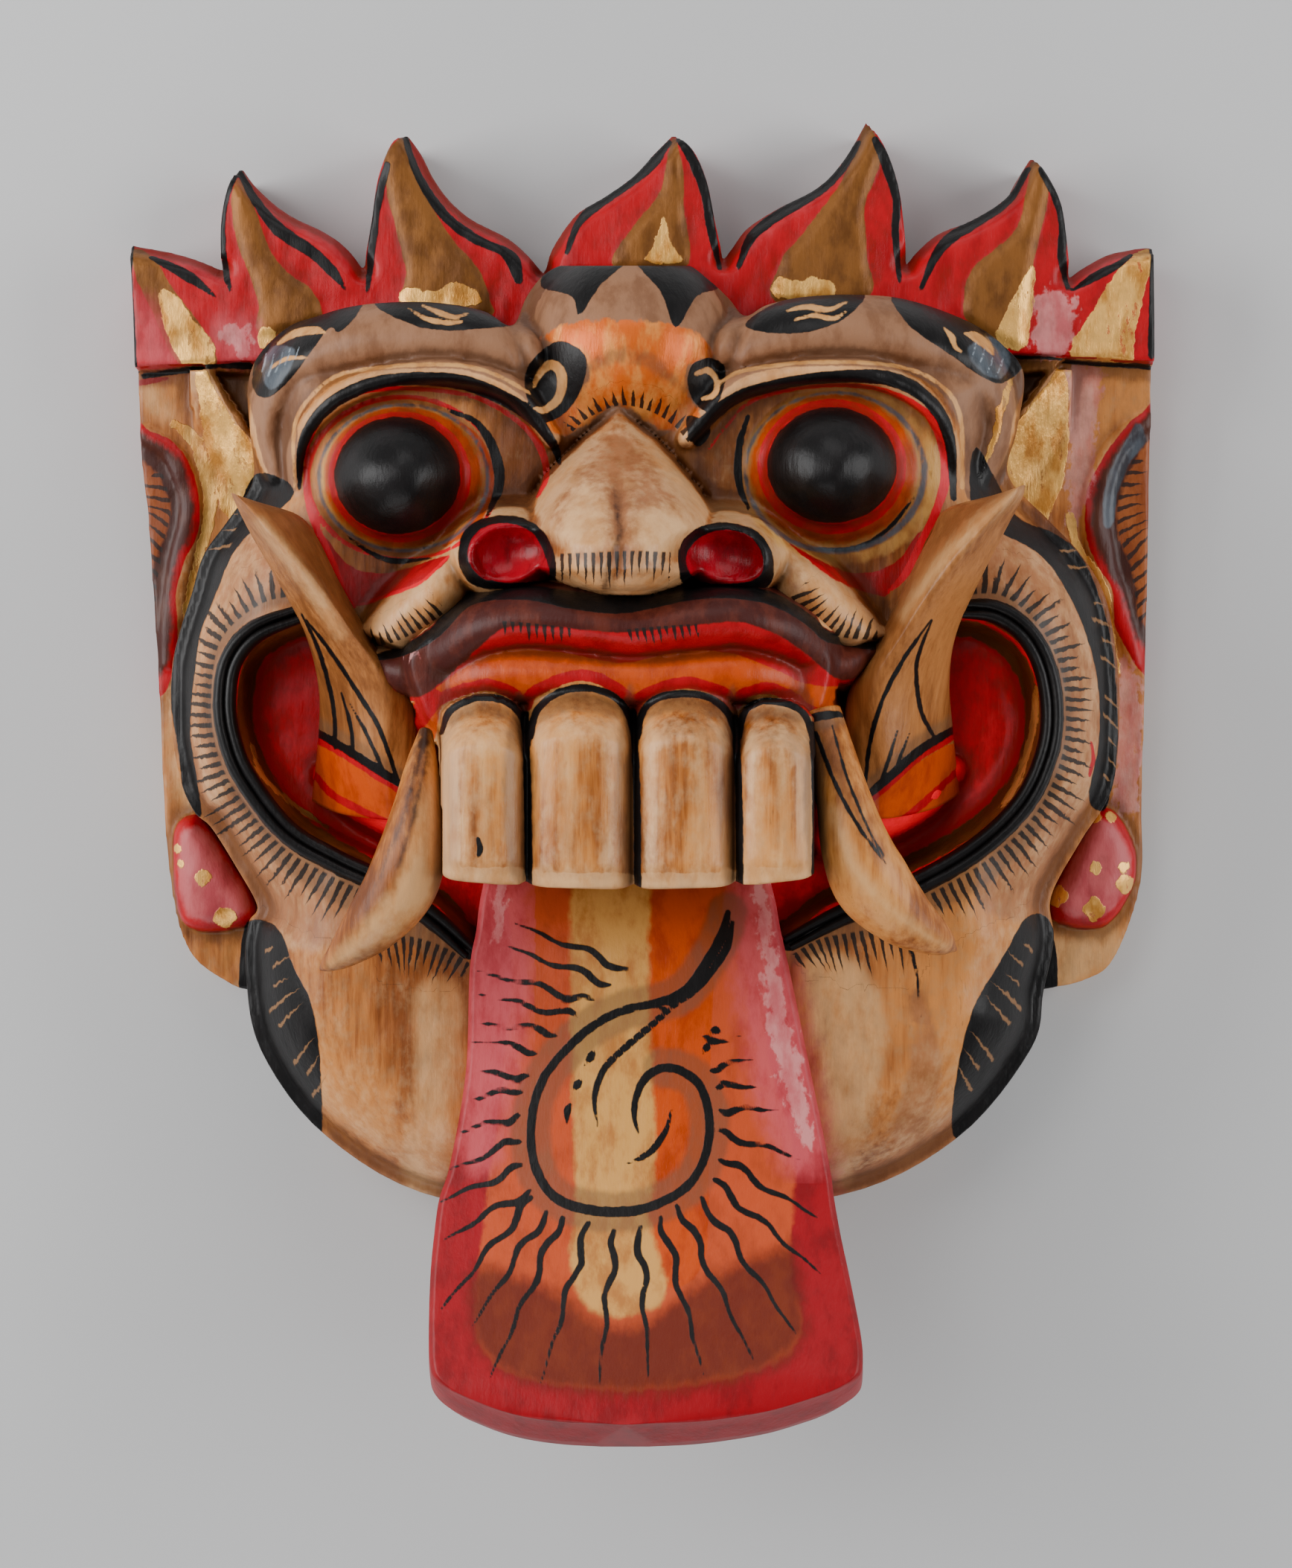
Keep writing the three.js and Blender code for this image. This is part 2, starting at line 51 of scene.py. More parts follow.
# The front is laid out on a plan sheet, drawn as it is seen from straight above: u to the right, v down.
# Up to the slab's face the sheet is true to scale, and what stands higher is drawn larger.
sheet = {
    "left": 173.0,       # the slab's left and right edges on the sheet
    "right": 1550.0,
    "midU": 868.0,       # the place straight below the eye
    "midV": 1053.5,
    "trueAt": 24.0,      # mm, the slab's face
    "seenFrom": 824.0,   # mm, the eye above the back
    "shiftX": -1.2,      # mm, from that place to the middle of the block
    "shiftY": 6.4,
}
unitsPerMm = (sheet["right"] - sheet["left"]) / (blockHigh[0] - blockLow[0])


# Sheet place and height in mm, as a point in space in mm.
def toSpace(u, v, z):
    u, v, z = (np.asarray(value, float) for value in (u, v, z))
    scale = (sheet["seenFrom"] - np.maximum(z, sheet["trueAt"])) / (sheet["seenFrom"] - sheet["trueAt"])
    x = (u - sheet["midU"]) * scale / unitsPerMm - sheet["shiftX"]
    y = (sheet["midV"] - v) * scale / unitsPerMm - sheet["shiftY"]
    return np.stack([x, y, z + 0 * x], axis=-1)


# The way back, for points in mm.
def toSheet(points):
    x, y, z = points[:, 0], points[:, 1], points[:, 2]
    scale = (sheet["seenFrom"] - np.maximum(z, sheet["trueAt"])) / (sheet["seenFrom"] - sheet["trueAt"])
    u = (x + sheet["shiftX"]) * unitsPerMm / scale + sheet["midU"]
    v = sheet["midV"] - (y + sheet["shiftY"]) * unitsPerMm / scale
    return u, v


# Outlines and stations are written as one run of numbers; this makes rows of them.
def inRows(values, columns):
    return np.array(values, float).reshape(-1, columns)


# A smooth run of rows through the rows given, of whatever columns.
def smooth(rows, perSpan=6, closed=False):
    rows = np.array(rows, float)
    if closed:
        rows = np.vstack([rows[-1], rows, rows[0], rows[1]])
    else:
        rows = np.vstack([2 * rows[0] - rows[1], rows, 2 * rows[-1] - rows[-2]])
    run = []
    for before, start, end, after in zip(rows[:-3], rows[1:-2], rows[2:-1], rows[3:]):
        for share in np.arange(perSpan) / perSpan:
            bend = 2 * before - 5 * start + 4 * end - after
            twist = 3 * (start - end) + after - before
            run.append(0.5 * (2 * start + (end - before) * share + bend * share ** 2 + twist * share ** 3))
    if not closed:
        run.append(rows[-2])
    return np.array(run)


# For each place, the nearest spot of a path: how far off in mm, plus on its right-hand side as the sheet is
# read, and how far along in rows.
def alongPath(u, v, path):
    nearest = np.full(u.shape, 1e9)
    along = np.zeros(u.shape)
    side = np.ones(u.shape)
    for i in range(len(path) - 1):
        (a, b), (c, d) = path[i, :2], path[i + 1, :2]
        stepU, stepV = c - a, d - b
        share = np.clip(((u - a) * stepU + (v - b) * stepV) / max(stepU ** 2 + stepV ** 2, 1e-9), 0, 1)
        offU = u - a - share * stepU
        offV = v - b - share * stepV
        far = np.hypot(offU, offV)
        closer = far < nearest
        nearest[closer] = far[closer]
        along[closer] = (i + share)[closer]
        side[closer] = np.sign(stepU * offV - stepV * offU)[closer]
    return nearest * side / unitsPerMm, along


# How deep inside a closed outline each place is, in mm, below nothing outside it.
def depthInside(u, v, outline):
    inside = np.zeros(u.shape, bool)
    loop = np.vstack([outline, outline[:1]])
    for (a, b), (c, d) in zip(loop[:-1, :2], loop[1:, :2]):
        if b != d:
            inside ^= ((b > v) != (d > v)) & (u < (c - a) * (v - b) / (d - b) + a)
    far, _ = alongPath(u, v, loop)
    return np.where(inside, np.abs(far), -np.abs(far))


def softMax(one, other, soft):
    share = np.clip(0.5 + 0.5 * (one - other) / soft, 0, 1)
    return other + (one - other) * share + soft * share * (1 - share)


def softMin(one, other, soft):
    return -softMax(-one, -other, soft)


def ramp(value, start, end):
    share = np.clip((value - start) / (end - start), 0, 1)
    return share * share * (3 - 2 * share)


# A stretch of the carving as seen from above: its places on the sheet, and the height of wood at each.
class Board:
    def __init__(self, left, top, right, bottom, voxel, height):
        self.voxel = voxel
        self.spacing = voxel * unitsPerMm
        self.us = np.arange(left, right + self.spacing, self.spacing)
        self.vs = np.arange(bottom, top - self.spacing, -self.spacing)
        self.u, self.v = np.meshgrid(self.us, self.vs, indexing="ij")
        self.height = np.full(self.u.shape, float(height))

    def raiseTo(self, form, soft=1.0):
        self.height = softMax(self.height, form, soft)

    def sinkTo(self, form, soft=1.0):
        self.height = softMin(self.height, form, soft)

    # A crease along a path: half as wide as given, in mm, and as deep.
    def groove(self, path, half, deep):
        off, _ = alongPath(self.u, self.v, smooth(inRows(path, 2)))
        self.height -= deep * (1 - ramp(np.abs(off), 0, half))

    # A dome or, sunk, a bowl: half of a ball drawn out to three radii.
    def dome(self, u, v, ru, rv, base, rise, turn=0.0):
        angle = math.radians(turn)
        offU = (self.u - u) * math.cos(angle) + (self.v - v) * math.sin(angle)
        offV = (self.v - v) * math.cos(angle) - (self.u - u) * math.sin(angle)
        reach = np.hypot(offU / ru, offV / rv)
        inside = base + rise * np.sqrt(np.clip(1 - reach ** 2, 0, 1))
        return np.where(reach < 1, inside, base - np.sign(rise) * (reach - 1) * min(ru, rv) / unitsPerMm * 3)

    # A roll along stations u,v,top,half width in sheet units,fall from crest to edge.
    def roll(self, stations):
        path = smooth(inRows(stations, 5))
        off, along = alongPath(self.u, self.v, path)
        rows = np.arange(len(path))
        top, wide, fall = (np.interp(along, rows, path[:, column]) for column in (2, 3, 4))
        reach = np.abs(off) * unitsPerMm / wide
        crest = top - fall * (1 - np.sqrt(np.clip(1 - reach ** 2, 0, 1)))
        return np.where(reach < 1, crest, top - fall - (reach - 1) * wide / unitsPerMm * 4)


# The block: the slab with its flames and ears, the face that stands on it and the hollow behind.
block = {
    "slabVoxel": 0.85,       # mm, how fine the carving is cut
    "faceVoxel": 0.9,
    "earTop": 19.0,          # mm
    "crownTop": 26.0,
    "faceTop": 63.0,
    "faceRound": 22.0,       # mm, how far in from its edge the face rounds up to that
    "wall": 20.0,            # mm, rim of the hollow back
    "lap": 8.0,              # mm, how far the slab reaches in under the face
    "hollowTop": 24.0,
    "browHollowTop": 47.0,
    "browHollowFoot": 12.0,
    "browBowl": {"u": 855, "v": 640, "ru": 395, "rv": 215},
    "leastWall": 7.0,        # mm of wood left between the hollow and the front
    "toolMark": 0.22,        # mm, unevenness left by the knife
    "hollowMark": 0.9,       # mm, the same in the hollow
    "flameBevel": 4.5,       # mm, how far a flame's edge falls
    "flameBevelWide": 4.2,
    "bladeRise": 1.1,        # mm, how far the bronze blades stand out
    "wedgeRise": 7.5,        # mm, the gilded wedges' ridges above the ears
    "wedgeFall": 0.62,       # mm for each mm away from the ridge
    "knobTop": 27.0,
    "knobRound": 7.0,
    "underFace": 17.0,       # mm, the slab's height where the face covers it
    "bareBehind": -0.25,     # skin that looks down more than this stays bare wood
}

flames = [
    [[297,362, 297,300, 306,252, 322,222], [322,222, 345,252, 385,285, 435,310, 465,332, 488,362]],
    [[488,362, 499,300, 508,240, 526,193, 546,178], [546,178, 565,205, 582,238, 604,268, 634,293, 685,320,
     730,362]],
    [[730,362, 744,328, 774,286, 812,262, 850,235, 880,203, 905,178], [905,178, 932,203, 950,245, 961,300,
     972,348]],
    [[972,348, 985,330, 1005,304, 1045,278, 1100,249, 1135,212, 1165,161], [1165,161, 1190,200, 1207,250,
     1214,300, 1219,355]],
    [[1219,355, 1232,338, 1262,312, 1310,292, 1355,262, 1377,225, 1388,208], [1388,208, 1410,240, 1426,275,
     1433,320, 1438,372]],
]
crownCorners = {"left": [[173, 327], [232, 338], [270, 350], [297, 362]],
                "right": [[1438, 372], [1462, 355], [1497, 338], [1550, 329]]}
crownFoot = [[150, 497], [260, 492], [330, 489], [700, 489], [1370, 478], [1437, 482], [1580, 491]]


def flameSides():
    return [[smooth(inRows(side[which], 2)) for side in flames] for which in (0, 1)]


def slabOutline():
    rising, falling = flameSides()
    top = [side for pair in zip(rising, falling) for side in pair]
    rightSide = smooth(inRows([1550,329, 1551,500, 1546,780, 1539,1070, 1537,1187, 1501,1289, 1460,1319,
        1402,1332], 2))
    leftSide = smooth(inRows([341,1335, 303,1322, 247,1273, 221,1151, 208,900, 195,700, 185,600, 178,400,
        173,327], 2))
    return np.vstack([smooth(crownCorners["left"]), *top, smooth(crownCorners["right"]), rightSide, leftSide])


faceOutline = smooth(inRows([
    846,350, 916,353, 952,376, 980,402, 1001,425, 1030,410, 1080,399, 1150,396, 1220,403, 1301,432,
    1350,466, 1376,505, 1366,580, 1355,640, 1410,700, 1452,745, 1484,800, 1500,880, 1504,960, 1494,1060,
    1452,1130, 1412,1205, 1416,1262, 1402,1332, 1385,1410, 1285,1530, 1125,1607, 866,1622, 600,1612,
    440,1528, 350,1410, 330,1300, 334,1240, 346,1218, 318,1166, 284,1112, 262,1092, 243,1050, 231,980,
    231,900, 242,848, 258,797, 274,745, 308,697, 340,645, 336,580, 333,520, 347,478, 386,440, 423,426,
    471,412, 530,406, 590,407, 650,418, 688,438, 708,398, 734,367, 770,353
], 2), closed=True)
mouthOutline = smooth(inRows([
    868,895, 1100,890, 1180,868, 1240,845, 1305,826, 1378,872, 1406,955, 1390,1045, 1326,1120, 1228,1178,
    1120,1222, 1048,1268, 868,1300, 640,1276, 582,1224, 480,1175, 380,1110, 325,1022, 311,945, 330,870,
    400,828, 450,840, 500,868, 560,888, 640,895
], 2), closed=True)


def shapeSlab(board):
    crownDepth = depthInside(board.u, board.v, np.vstack([crownFoot, [[1600, 100], [100, 100]]]))
    board.height = block["earTop"] + (block["crownTop"] - block["earTop"]) * ramp(crownDepth, -0.5, 0.7)
    rising, falling = flameSides()
    bevelled = [smooth(crownCorners["left"]), falling[0], falling[1], rising[2], rising[3], rising[4],
                smooth(crownCorners["right"])]
    for side in bevelled:
        off, _ = alongPath(board.u, board.v, side)
        bevel = block["flameBevel"] * (1 - ramp(np.abs(off), 0.0, block["flameBevelWide"]))
        board.height -= bevel * ramp(crownDepth, 0, 2)
    for blade in bronzeBlades:
        inBlade = depthInside(board.u, board.v, smooth(inRows(blade, 2), closed=True))
        board.height += block["bladeRise"] * ramp(inBlade, -0.6, 2.5)


bronzeBlades = [
    [320,240, 335,262, 348,295, 364,338, 391,370, 418,389, 430,430, 351,451, 347,408, 335,370, 316,317,
     311,268],
    [546,182, 557,220, 573,263, 605,317, 643,362, 657,400, 655,425, 543,425, 545,370, 541,344, 530,301,
     520,258, 517,210],
    [905,182, 918,230, 919,280, 926,354, 880,364, 822,356, 850,305, 885,262, 895,220],
    [1165,165, 1184,210, 1173,247, 1162,279, 1165,344, 1165,400, 1042,406, 1050,349, 1076,317, 1109,274,
     1135,236, 1151,199],
    [1388,214, 1409,242, 1406,279, 1392,338, 1384,392, 1380,445, 1370,468, 1339,456, 1298,430, 1296,392,
     1307,360, 1339,333, 1366,306, 1379,258],
]


gildedWedges = [
    ([272,497, 318,560, 352,610], [255,500, 262,600, 282,660, 312,704, 356,612]),
    ([1426,497, 1372,560, 1332,604], [1440,500, 1441,600, 1436,655, 1398,708, 1330,606]),
]
earRims = [
    [190,580,20.2,14,2, 232,612,20.8,16,2, 254,680,21,18,2.4, 240,750,21,18,2.4, 228,820,20.8,16,2,
     222,890,20.2,10,1],
    [1546,560,20.2,14,2, 1500,600,20.8,16,2, 1476,670,21,20,2.4, 1484,750,21,20,2.4, 1508,820,20.8,16,2,
     1530,890,20.2,10,1],
]


def shapeEars(board):
    ear = block["earTop"]
    # The gilded wedge beside each brow: a sharp ridge between a broad outer face and a narrow inner one.
    for ridge, outer in gildedWedges:
        ridge = inRows(ridge, 2)
        outline = np.vstack([inRows(outer, 2), [[ridge[0, 0], 480], [868, 480]]])
        wedge = depthInside(board.u, board.v, outline)
        off, _ = alongPath(board.u, board.v, ridge)
        facets = ear + block["wedgeRise"] - block["wedgeFall"] * np.abs(off)
        board.raiseTo(np.where(wedge > -0.5, facets, ear - 3), 0.8)
    for stations in earRims:
        board.raiseTo(board.roll(stations), 1.2)
    for outline in (leftKnob, rightKnob):
        depth = depthInside(board.u, board.v, smooth(outline, closed=True))
        swell = np.sqrt(np.clip(1 - (1 - np.clip(depth / block["knobRound"], -1, 1)) ** 2, 0, 1))
        board.raiseTo(ear + (block["knobTop"] - ear) * swell - 6 * (depth < 0), 0.5)


leftKnob = inRows([234,1108, 262,1094, 284,1115, 318,1168, 344,1210, 340,1240, 282,1254, 240,1236,
    229,1160], 2)
rightKnob = inRows([1466,1090, 1500,1090, 1528,1140, 1526,1192, 1488,1246, 1430,1244, 1406,1214,
    1438,1140], 2)


forehead = {"u": 846, "v": 462, "ru": 138, "rv": 126, "base": 46, "rise": 25}
eyes = ({"u": 534, "v": 640, "ru": 86, "rv": 80}, {"u": 1118, "v": 626, "ru": 88, "rv": 79})
eyeSocket = {"ru": 162, "rv": 140, "base": 84, "rise": -26}
eyeLid = {"base": 58, "rise": 14}
eyeBall = {"base": 62, "rise": 23}


browRolls = [
    [698,478,66,36,8, 600,456,68,50,14, 490,460,66,54,18, 400,496,60,48,20, 362,564,54,30,12,
     372,640,52,16,6],
    [990,470,66,36,8, 1080,450,68,50,14, 1190,452,66,54,18, 1292,488,60,50,20, 1338,560,54,30,12,
     1318,645,52,16,6],
]
browCreases = [
    [686,430, 696,462, 706,492, 712,520],
    [1003,418, 994,450, 984,478, 978,505],
]
lidRolls = [
    [400,690,56,10,4, 403,600,63,14,5, 445,540,69,17,6, 520,508,71,18,6, 610,500,72,18,6, 690,525,72,17,6,
     742,590,70,12,5],
    [922,590,70,12,5, 985,524,72,17,6, 1085,500,72,18,6, 1180,504,71,18,6, 1250,545,68,17,6,
     1280,610,62,14,5, 1282,690,56,10,4],
]


def shapeFace(board):
    depth = depthInside(board.u, board.v, faceOutline)
    rounding = np.sqrt(1 - (1 - np.clip(depth / block["faceRound"], 0, 1)) ** 2)
    rounded = block["earTop"] + (block["faceTop"] - block["earTop"]) * rounding
    board.raiseTo(np.where(depth > -1, rounded, 10), 1.5)
    # Forehead bulge and brow ridges, then the sunken sockets with the eyes standing in them.
    board.raiseTo(board.dome(**forehead), 4)
    for stations in browRolls:
        board.raiseTo(board.roll(stations), 2)
    for crease in browCreases:
        board.groove(crease, 3.2, 2.6)
    for eye in eyes:
        board.sinkTo(board.dome(eye["u"], eye["v"], **eyeSocket), 3)
        board.raiseTo(board.dome(eye["u"], eye["v"], eye["ru"] + 34, eye["rv"] + 30, **eyeLid), 2)
        board.raiseTo(board.dome(eye["u"], eye["v"], eye["ru"] + 4, eye["rv"] + 4, **eyeBall), 1.2)
    for stations in lidRolls:
        board.raiseTo(board.roll(stations), 1)


noseForm = {
    "creaseDeep": 1.6,       # mm
    "creaseHalf": 9.0,       # sheet units
    "besideDeep": 2.6,       # mm, the crease on both sides of the bridge
    "wingBase": 70.0,        # mm
    "wingRise": 27.0,
    "nostrilTop": 96.0,
    "nostrilDeep": 9.0,
    "nostrilRu": 58.0,       # sheet units
    "nostrilRv": 43.0,
}


nostrilWings = [
    {"u": 681, "v": 742, "ru": 86, "rv": 62, "turn": -12, "holeU": 683, "holeV": 744, "holeTurn": -14},
    {"u": 982, "v": 744, "ru": 86, "rv": 58, "turn": 12, "holeU": 975, "holeV": 748, "holeTurn": 12},
]
cheekFolds = [
    [616,756,82,28,8, 590,790,85,38,10, 552,826,84,38,10, 512,856,80,28,8, 484,872,74,14,5],
    [1050,756,82,28,8, 1082,790,85,40,10, 1122,826,84,38,10, 1160,850,80,26,8, 1188,862,74,14,5],
]


def shapeNose(board):
    # The bridge and tip, shaped like a shield: v on the sheet, left and right edge, height of the crest.
    rows = inRows([
        552,826,836,66, 590,782,882,74, 620,752,908,84, 650,727,932,94, 690,706,962,104,
        730,700,972,111, 765,716,952,112, 788,760,915,108, 800,800,880,100,
    ], 4)
    left, right, crest = (np.interp(board.v, rows[:, 0], rows[:, column]) for column in (1, 2, 3))
    middle = 0.5 * (left + right)
    across = np.clip((board.u - middle) / np.maximum(0.5 * (right - left), 4), -1, 1)
    bulge = np.sqrt(np.clip(1 - np.abs(across) ** 2.4, 0, 1))
    base = np.interp(board.v, [552, 600, 650, 730, 800], [62, 67, 71, 72, 72])
    nose = base + (crest - base) * bulge
    crease = np.interp(board.v, rows[:, 0], [832, 830, 828, 827, 832, 836, 832, 824, 820])
    narrow = np.exp(-((board.u - crease) / noseForm["creaseHalf"]) ** 2)
    nose -= noseForm["creaseDeep"] * narrow * ramp(board.v, 620, 670)
    outside = (board.v < 548) | (board.v > 802) | (np.abs(board.u - middle) > 0.5 * (right - left) + 2)
    board.raiseTo(np.where(outside, 40, nose), 0.9)
    for edge in (left, right):
        beside = np.abs(board.u - edge) / unitsPerMm * 0.72
        alongBridge = ramp(board.v, 556, 570) * (1 - ramp(board.v, 735, 760))
        board.height -= noseForm["besideDeep"] * (1 - ramp(beside, 0, 1.7)) * alongBridge
    # Wings, each a dome with a thick ring round the nostril.
    for side in nostrilWings:
        wing = board.dome(side["u"], side["v"], side["ru"], side["rv"], noseForm["wingBase"],
                          noseForm["wingRise"], side["turn"])
        hole = board.dome(side["holeU"], side["holeV"], noseForm["nostrilRu"], noseForm["nostrilRv"],
                          noseForm["nostrilTop"], -noseForm["nostrilDeep"], side["holeTurn"])
        board.raiseTo(wing, 2.5)
        board.sinkTo(hole, 1.2)
    for stations in cheekFolds:
        board.raiseTo(board.roll(stations), 1.2)


lowerGums = [
    [440,1042,50,22,10, 480,1064,60,34,12, 530,1088,64,36,12, 580,1104,66,34,12],
    [1278,1036,50,22,10, 1240,1062,60,34,12, 1185,1092,64,36,12, 1120,1110,66,34,12],
]


def shapeMouth(board):
    depth = depthInside(board.u, board.v, mouthOutline)
    bowl = np.interp(depth, [-20, -3, 0, 1.2, 3.5, 6.5, 10], [250, 80, 61, 53, 47, 43.5, 42])
    board.sinkTo(bowl, 1.0)
    # The bed of the rim's two ropes.
    for sweep in rimSweeps:
        board.raiseTo(board.roll([[u, v, 62.4, 14 * full, 2.4] for u, v, outU, outV, full in sweep]), 0.6)
    # Gums of the lower jaw, ridges across the bowl.
    for stations in lowerGums:
        board.raiseTo(board.roll(stations), 1.5)


rimSweeps = [            # middle line of the rim, which way is outwards there, and how full it is
    inRows([410,822,-0.2,-1,0.6, 345,848,-0.6,-0.8,1, 311,888,-0.9,-0.4,1, 302,940,-1,0,1,
        308,990,-1,0.2,1, 330,1045,-0.85,0.5,1, 385,1116,-0.6,0.8,1, 450,1156,-0.4,0.9,1,
        520,1190,-0.5,0.9,1, 584,1236,-0.7,0.7,0.9, 632,1280,-0.7,0.7,0.6], 5),
    inRows([1285,818,0.1,-1,0.6, 1335,822,0.3,-0.95,1, 1376,848,0.7,-0.7,1, 1402,892,0.9,-0.4,1,
        1413,950,1,0,1, 1407,1010,0.95,0.3,1, 1376,1078,0.8,0.6,1, 1315,1138,0.6,0.8,1,
        1235,1186,0.45,0.9,1, 1135,1228,0.5,0.9,0.9, 1058,1268,0.6,0.8,0.6], 5),
]


# How much lower than what is around it each place of a board lies, in mm.
def recessOf(board, reach=4.0):
    cells = round(reach / board.voxel)
    level = board.height
    for axis in (0, 1):
        level = sum(np.roll(level, step, axis) for step in range(-cells, cells + 1)) / (2 * cells + 1)
    return level - board.height


# The lowest height within reach of each place of a board, in mm.
def lowestNear(board, reach):
    cells = round(reach / board.voxel)
    lowest = board.height
    for axis in (0, 1):
        lowest = np.min([np.roll(lowest, step, axis) for step in range(-cells, cells + 1)], axis=0)
    return lowest


# Wood between the board's height and the back, as a field: below nothing in the wood, in mm.
def woodField(board, outlineDepth, backHeight):
    levels = np.arange(-2 * board.voxel, board.height.max() + 3 * board.voxel, board.voxel)
    slopes = np.gradient(board.height, board.voxel)
    steep = np.sqrt(1 + slopes[0] ** 2 + slopes[1] ** 2)
    z = levels[None, None, :]
    field = (z - board.height[:, :, None]) / steep[:, :, None]
    np.maximum(field, -outlineDepth[:, :, None], out=field)
    backSlopes = np.gradient(backHeight, board.voxel)
    backSteep = np.sqrt(1 + backSlopes[0] ** 2 + backSlopes[1] ** 2)
    np.maximum(field, (backHeight[:, :, None] - z) / backSteep[:, :, None], out=field)
    return field, levels


# The skin of a field as a mesh in space, in metres.
def skinMesh(name, board, field, levels):
    grid = openvdb.FloatGrid(background=3.0)
    grid.copyFromArray(np.clip(field, -3, 3).astype(np.float32))
    points, quads = grid.convertToQuads(isovalue=0.0)
    u = np.interp(points[:, 0], np.arange(len(board.us)), board.us)
    v = np.interp(points[:, 1], np.arange(len(board.vs)), board.vs)
    z = np.interp(points[:, 2], np.arange(len(levels)), levels)
    return meshFrom(name, toSpace(u, v, z), quads)


# A mesh from points in mm and faces of four corners, turned right way out.
def meshFrom(name, points, quads):
    points = np.asarray(points, float) / 1000
    quads = np.asarray(quads, np.int32)
    a, b, c, d = (points[quads[:, corner]] for corner in range(4))
    if np.einsum("ij,ij->", a + b + c + d, np.cross(c - a, d - b)) < 0:
        quads = quads[:, ::-1]
    mesh = bpy.data.meshes.new(name)
    mesh.vertices.add(len(points))
    mesh.vertices.foreach_set("co", points.astype(np.float32).ravel())
    mesh.loops.add(quads.size)
    mesh.loops.foreach_set("vertex_index", np.ascontiguousarray(quads).ravel())
    mesh.polygons.add(len(quads))
    mesh.polygons.foreach_set("loop_start", np.arange(0, quads.size, 4, dtype=np.int32))
    mesh.update(calc_edges=True)
    mesh.validate()
    mesh.polygons.foreach_set("use_smooth", np.ones(len(mesh.polygons), bool))
    return mesh


# Paint. Each coat is kept on the carving as a depth in mm, above nothing where the coat lies, so its edge
# stays sharp between the skin's corners. The material lays the coats over one another and makes their edges
# ragged.
brush = {
    "reach": 40,             # sheet units round a shape in which its depth is worked out
    "tickReach": 90,
    "patinaAndShadeFrom": 0.45,      # mm below what is around it, where dirt settles and painted shade darkens it
    "rubbedFrom": 0.7,       # mm above it, where the varnish is worn
    "crispEdge": 0.7,        # mm, coats with a border sharper than this get a dense skin
    "crispReach": 1.1,
    "backFade": 12,          # mm of paint for a skin that faces straight up
    "hollowFade": 60,
}


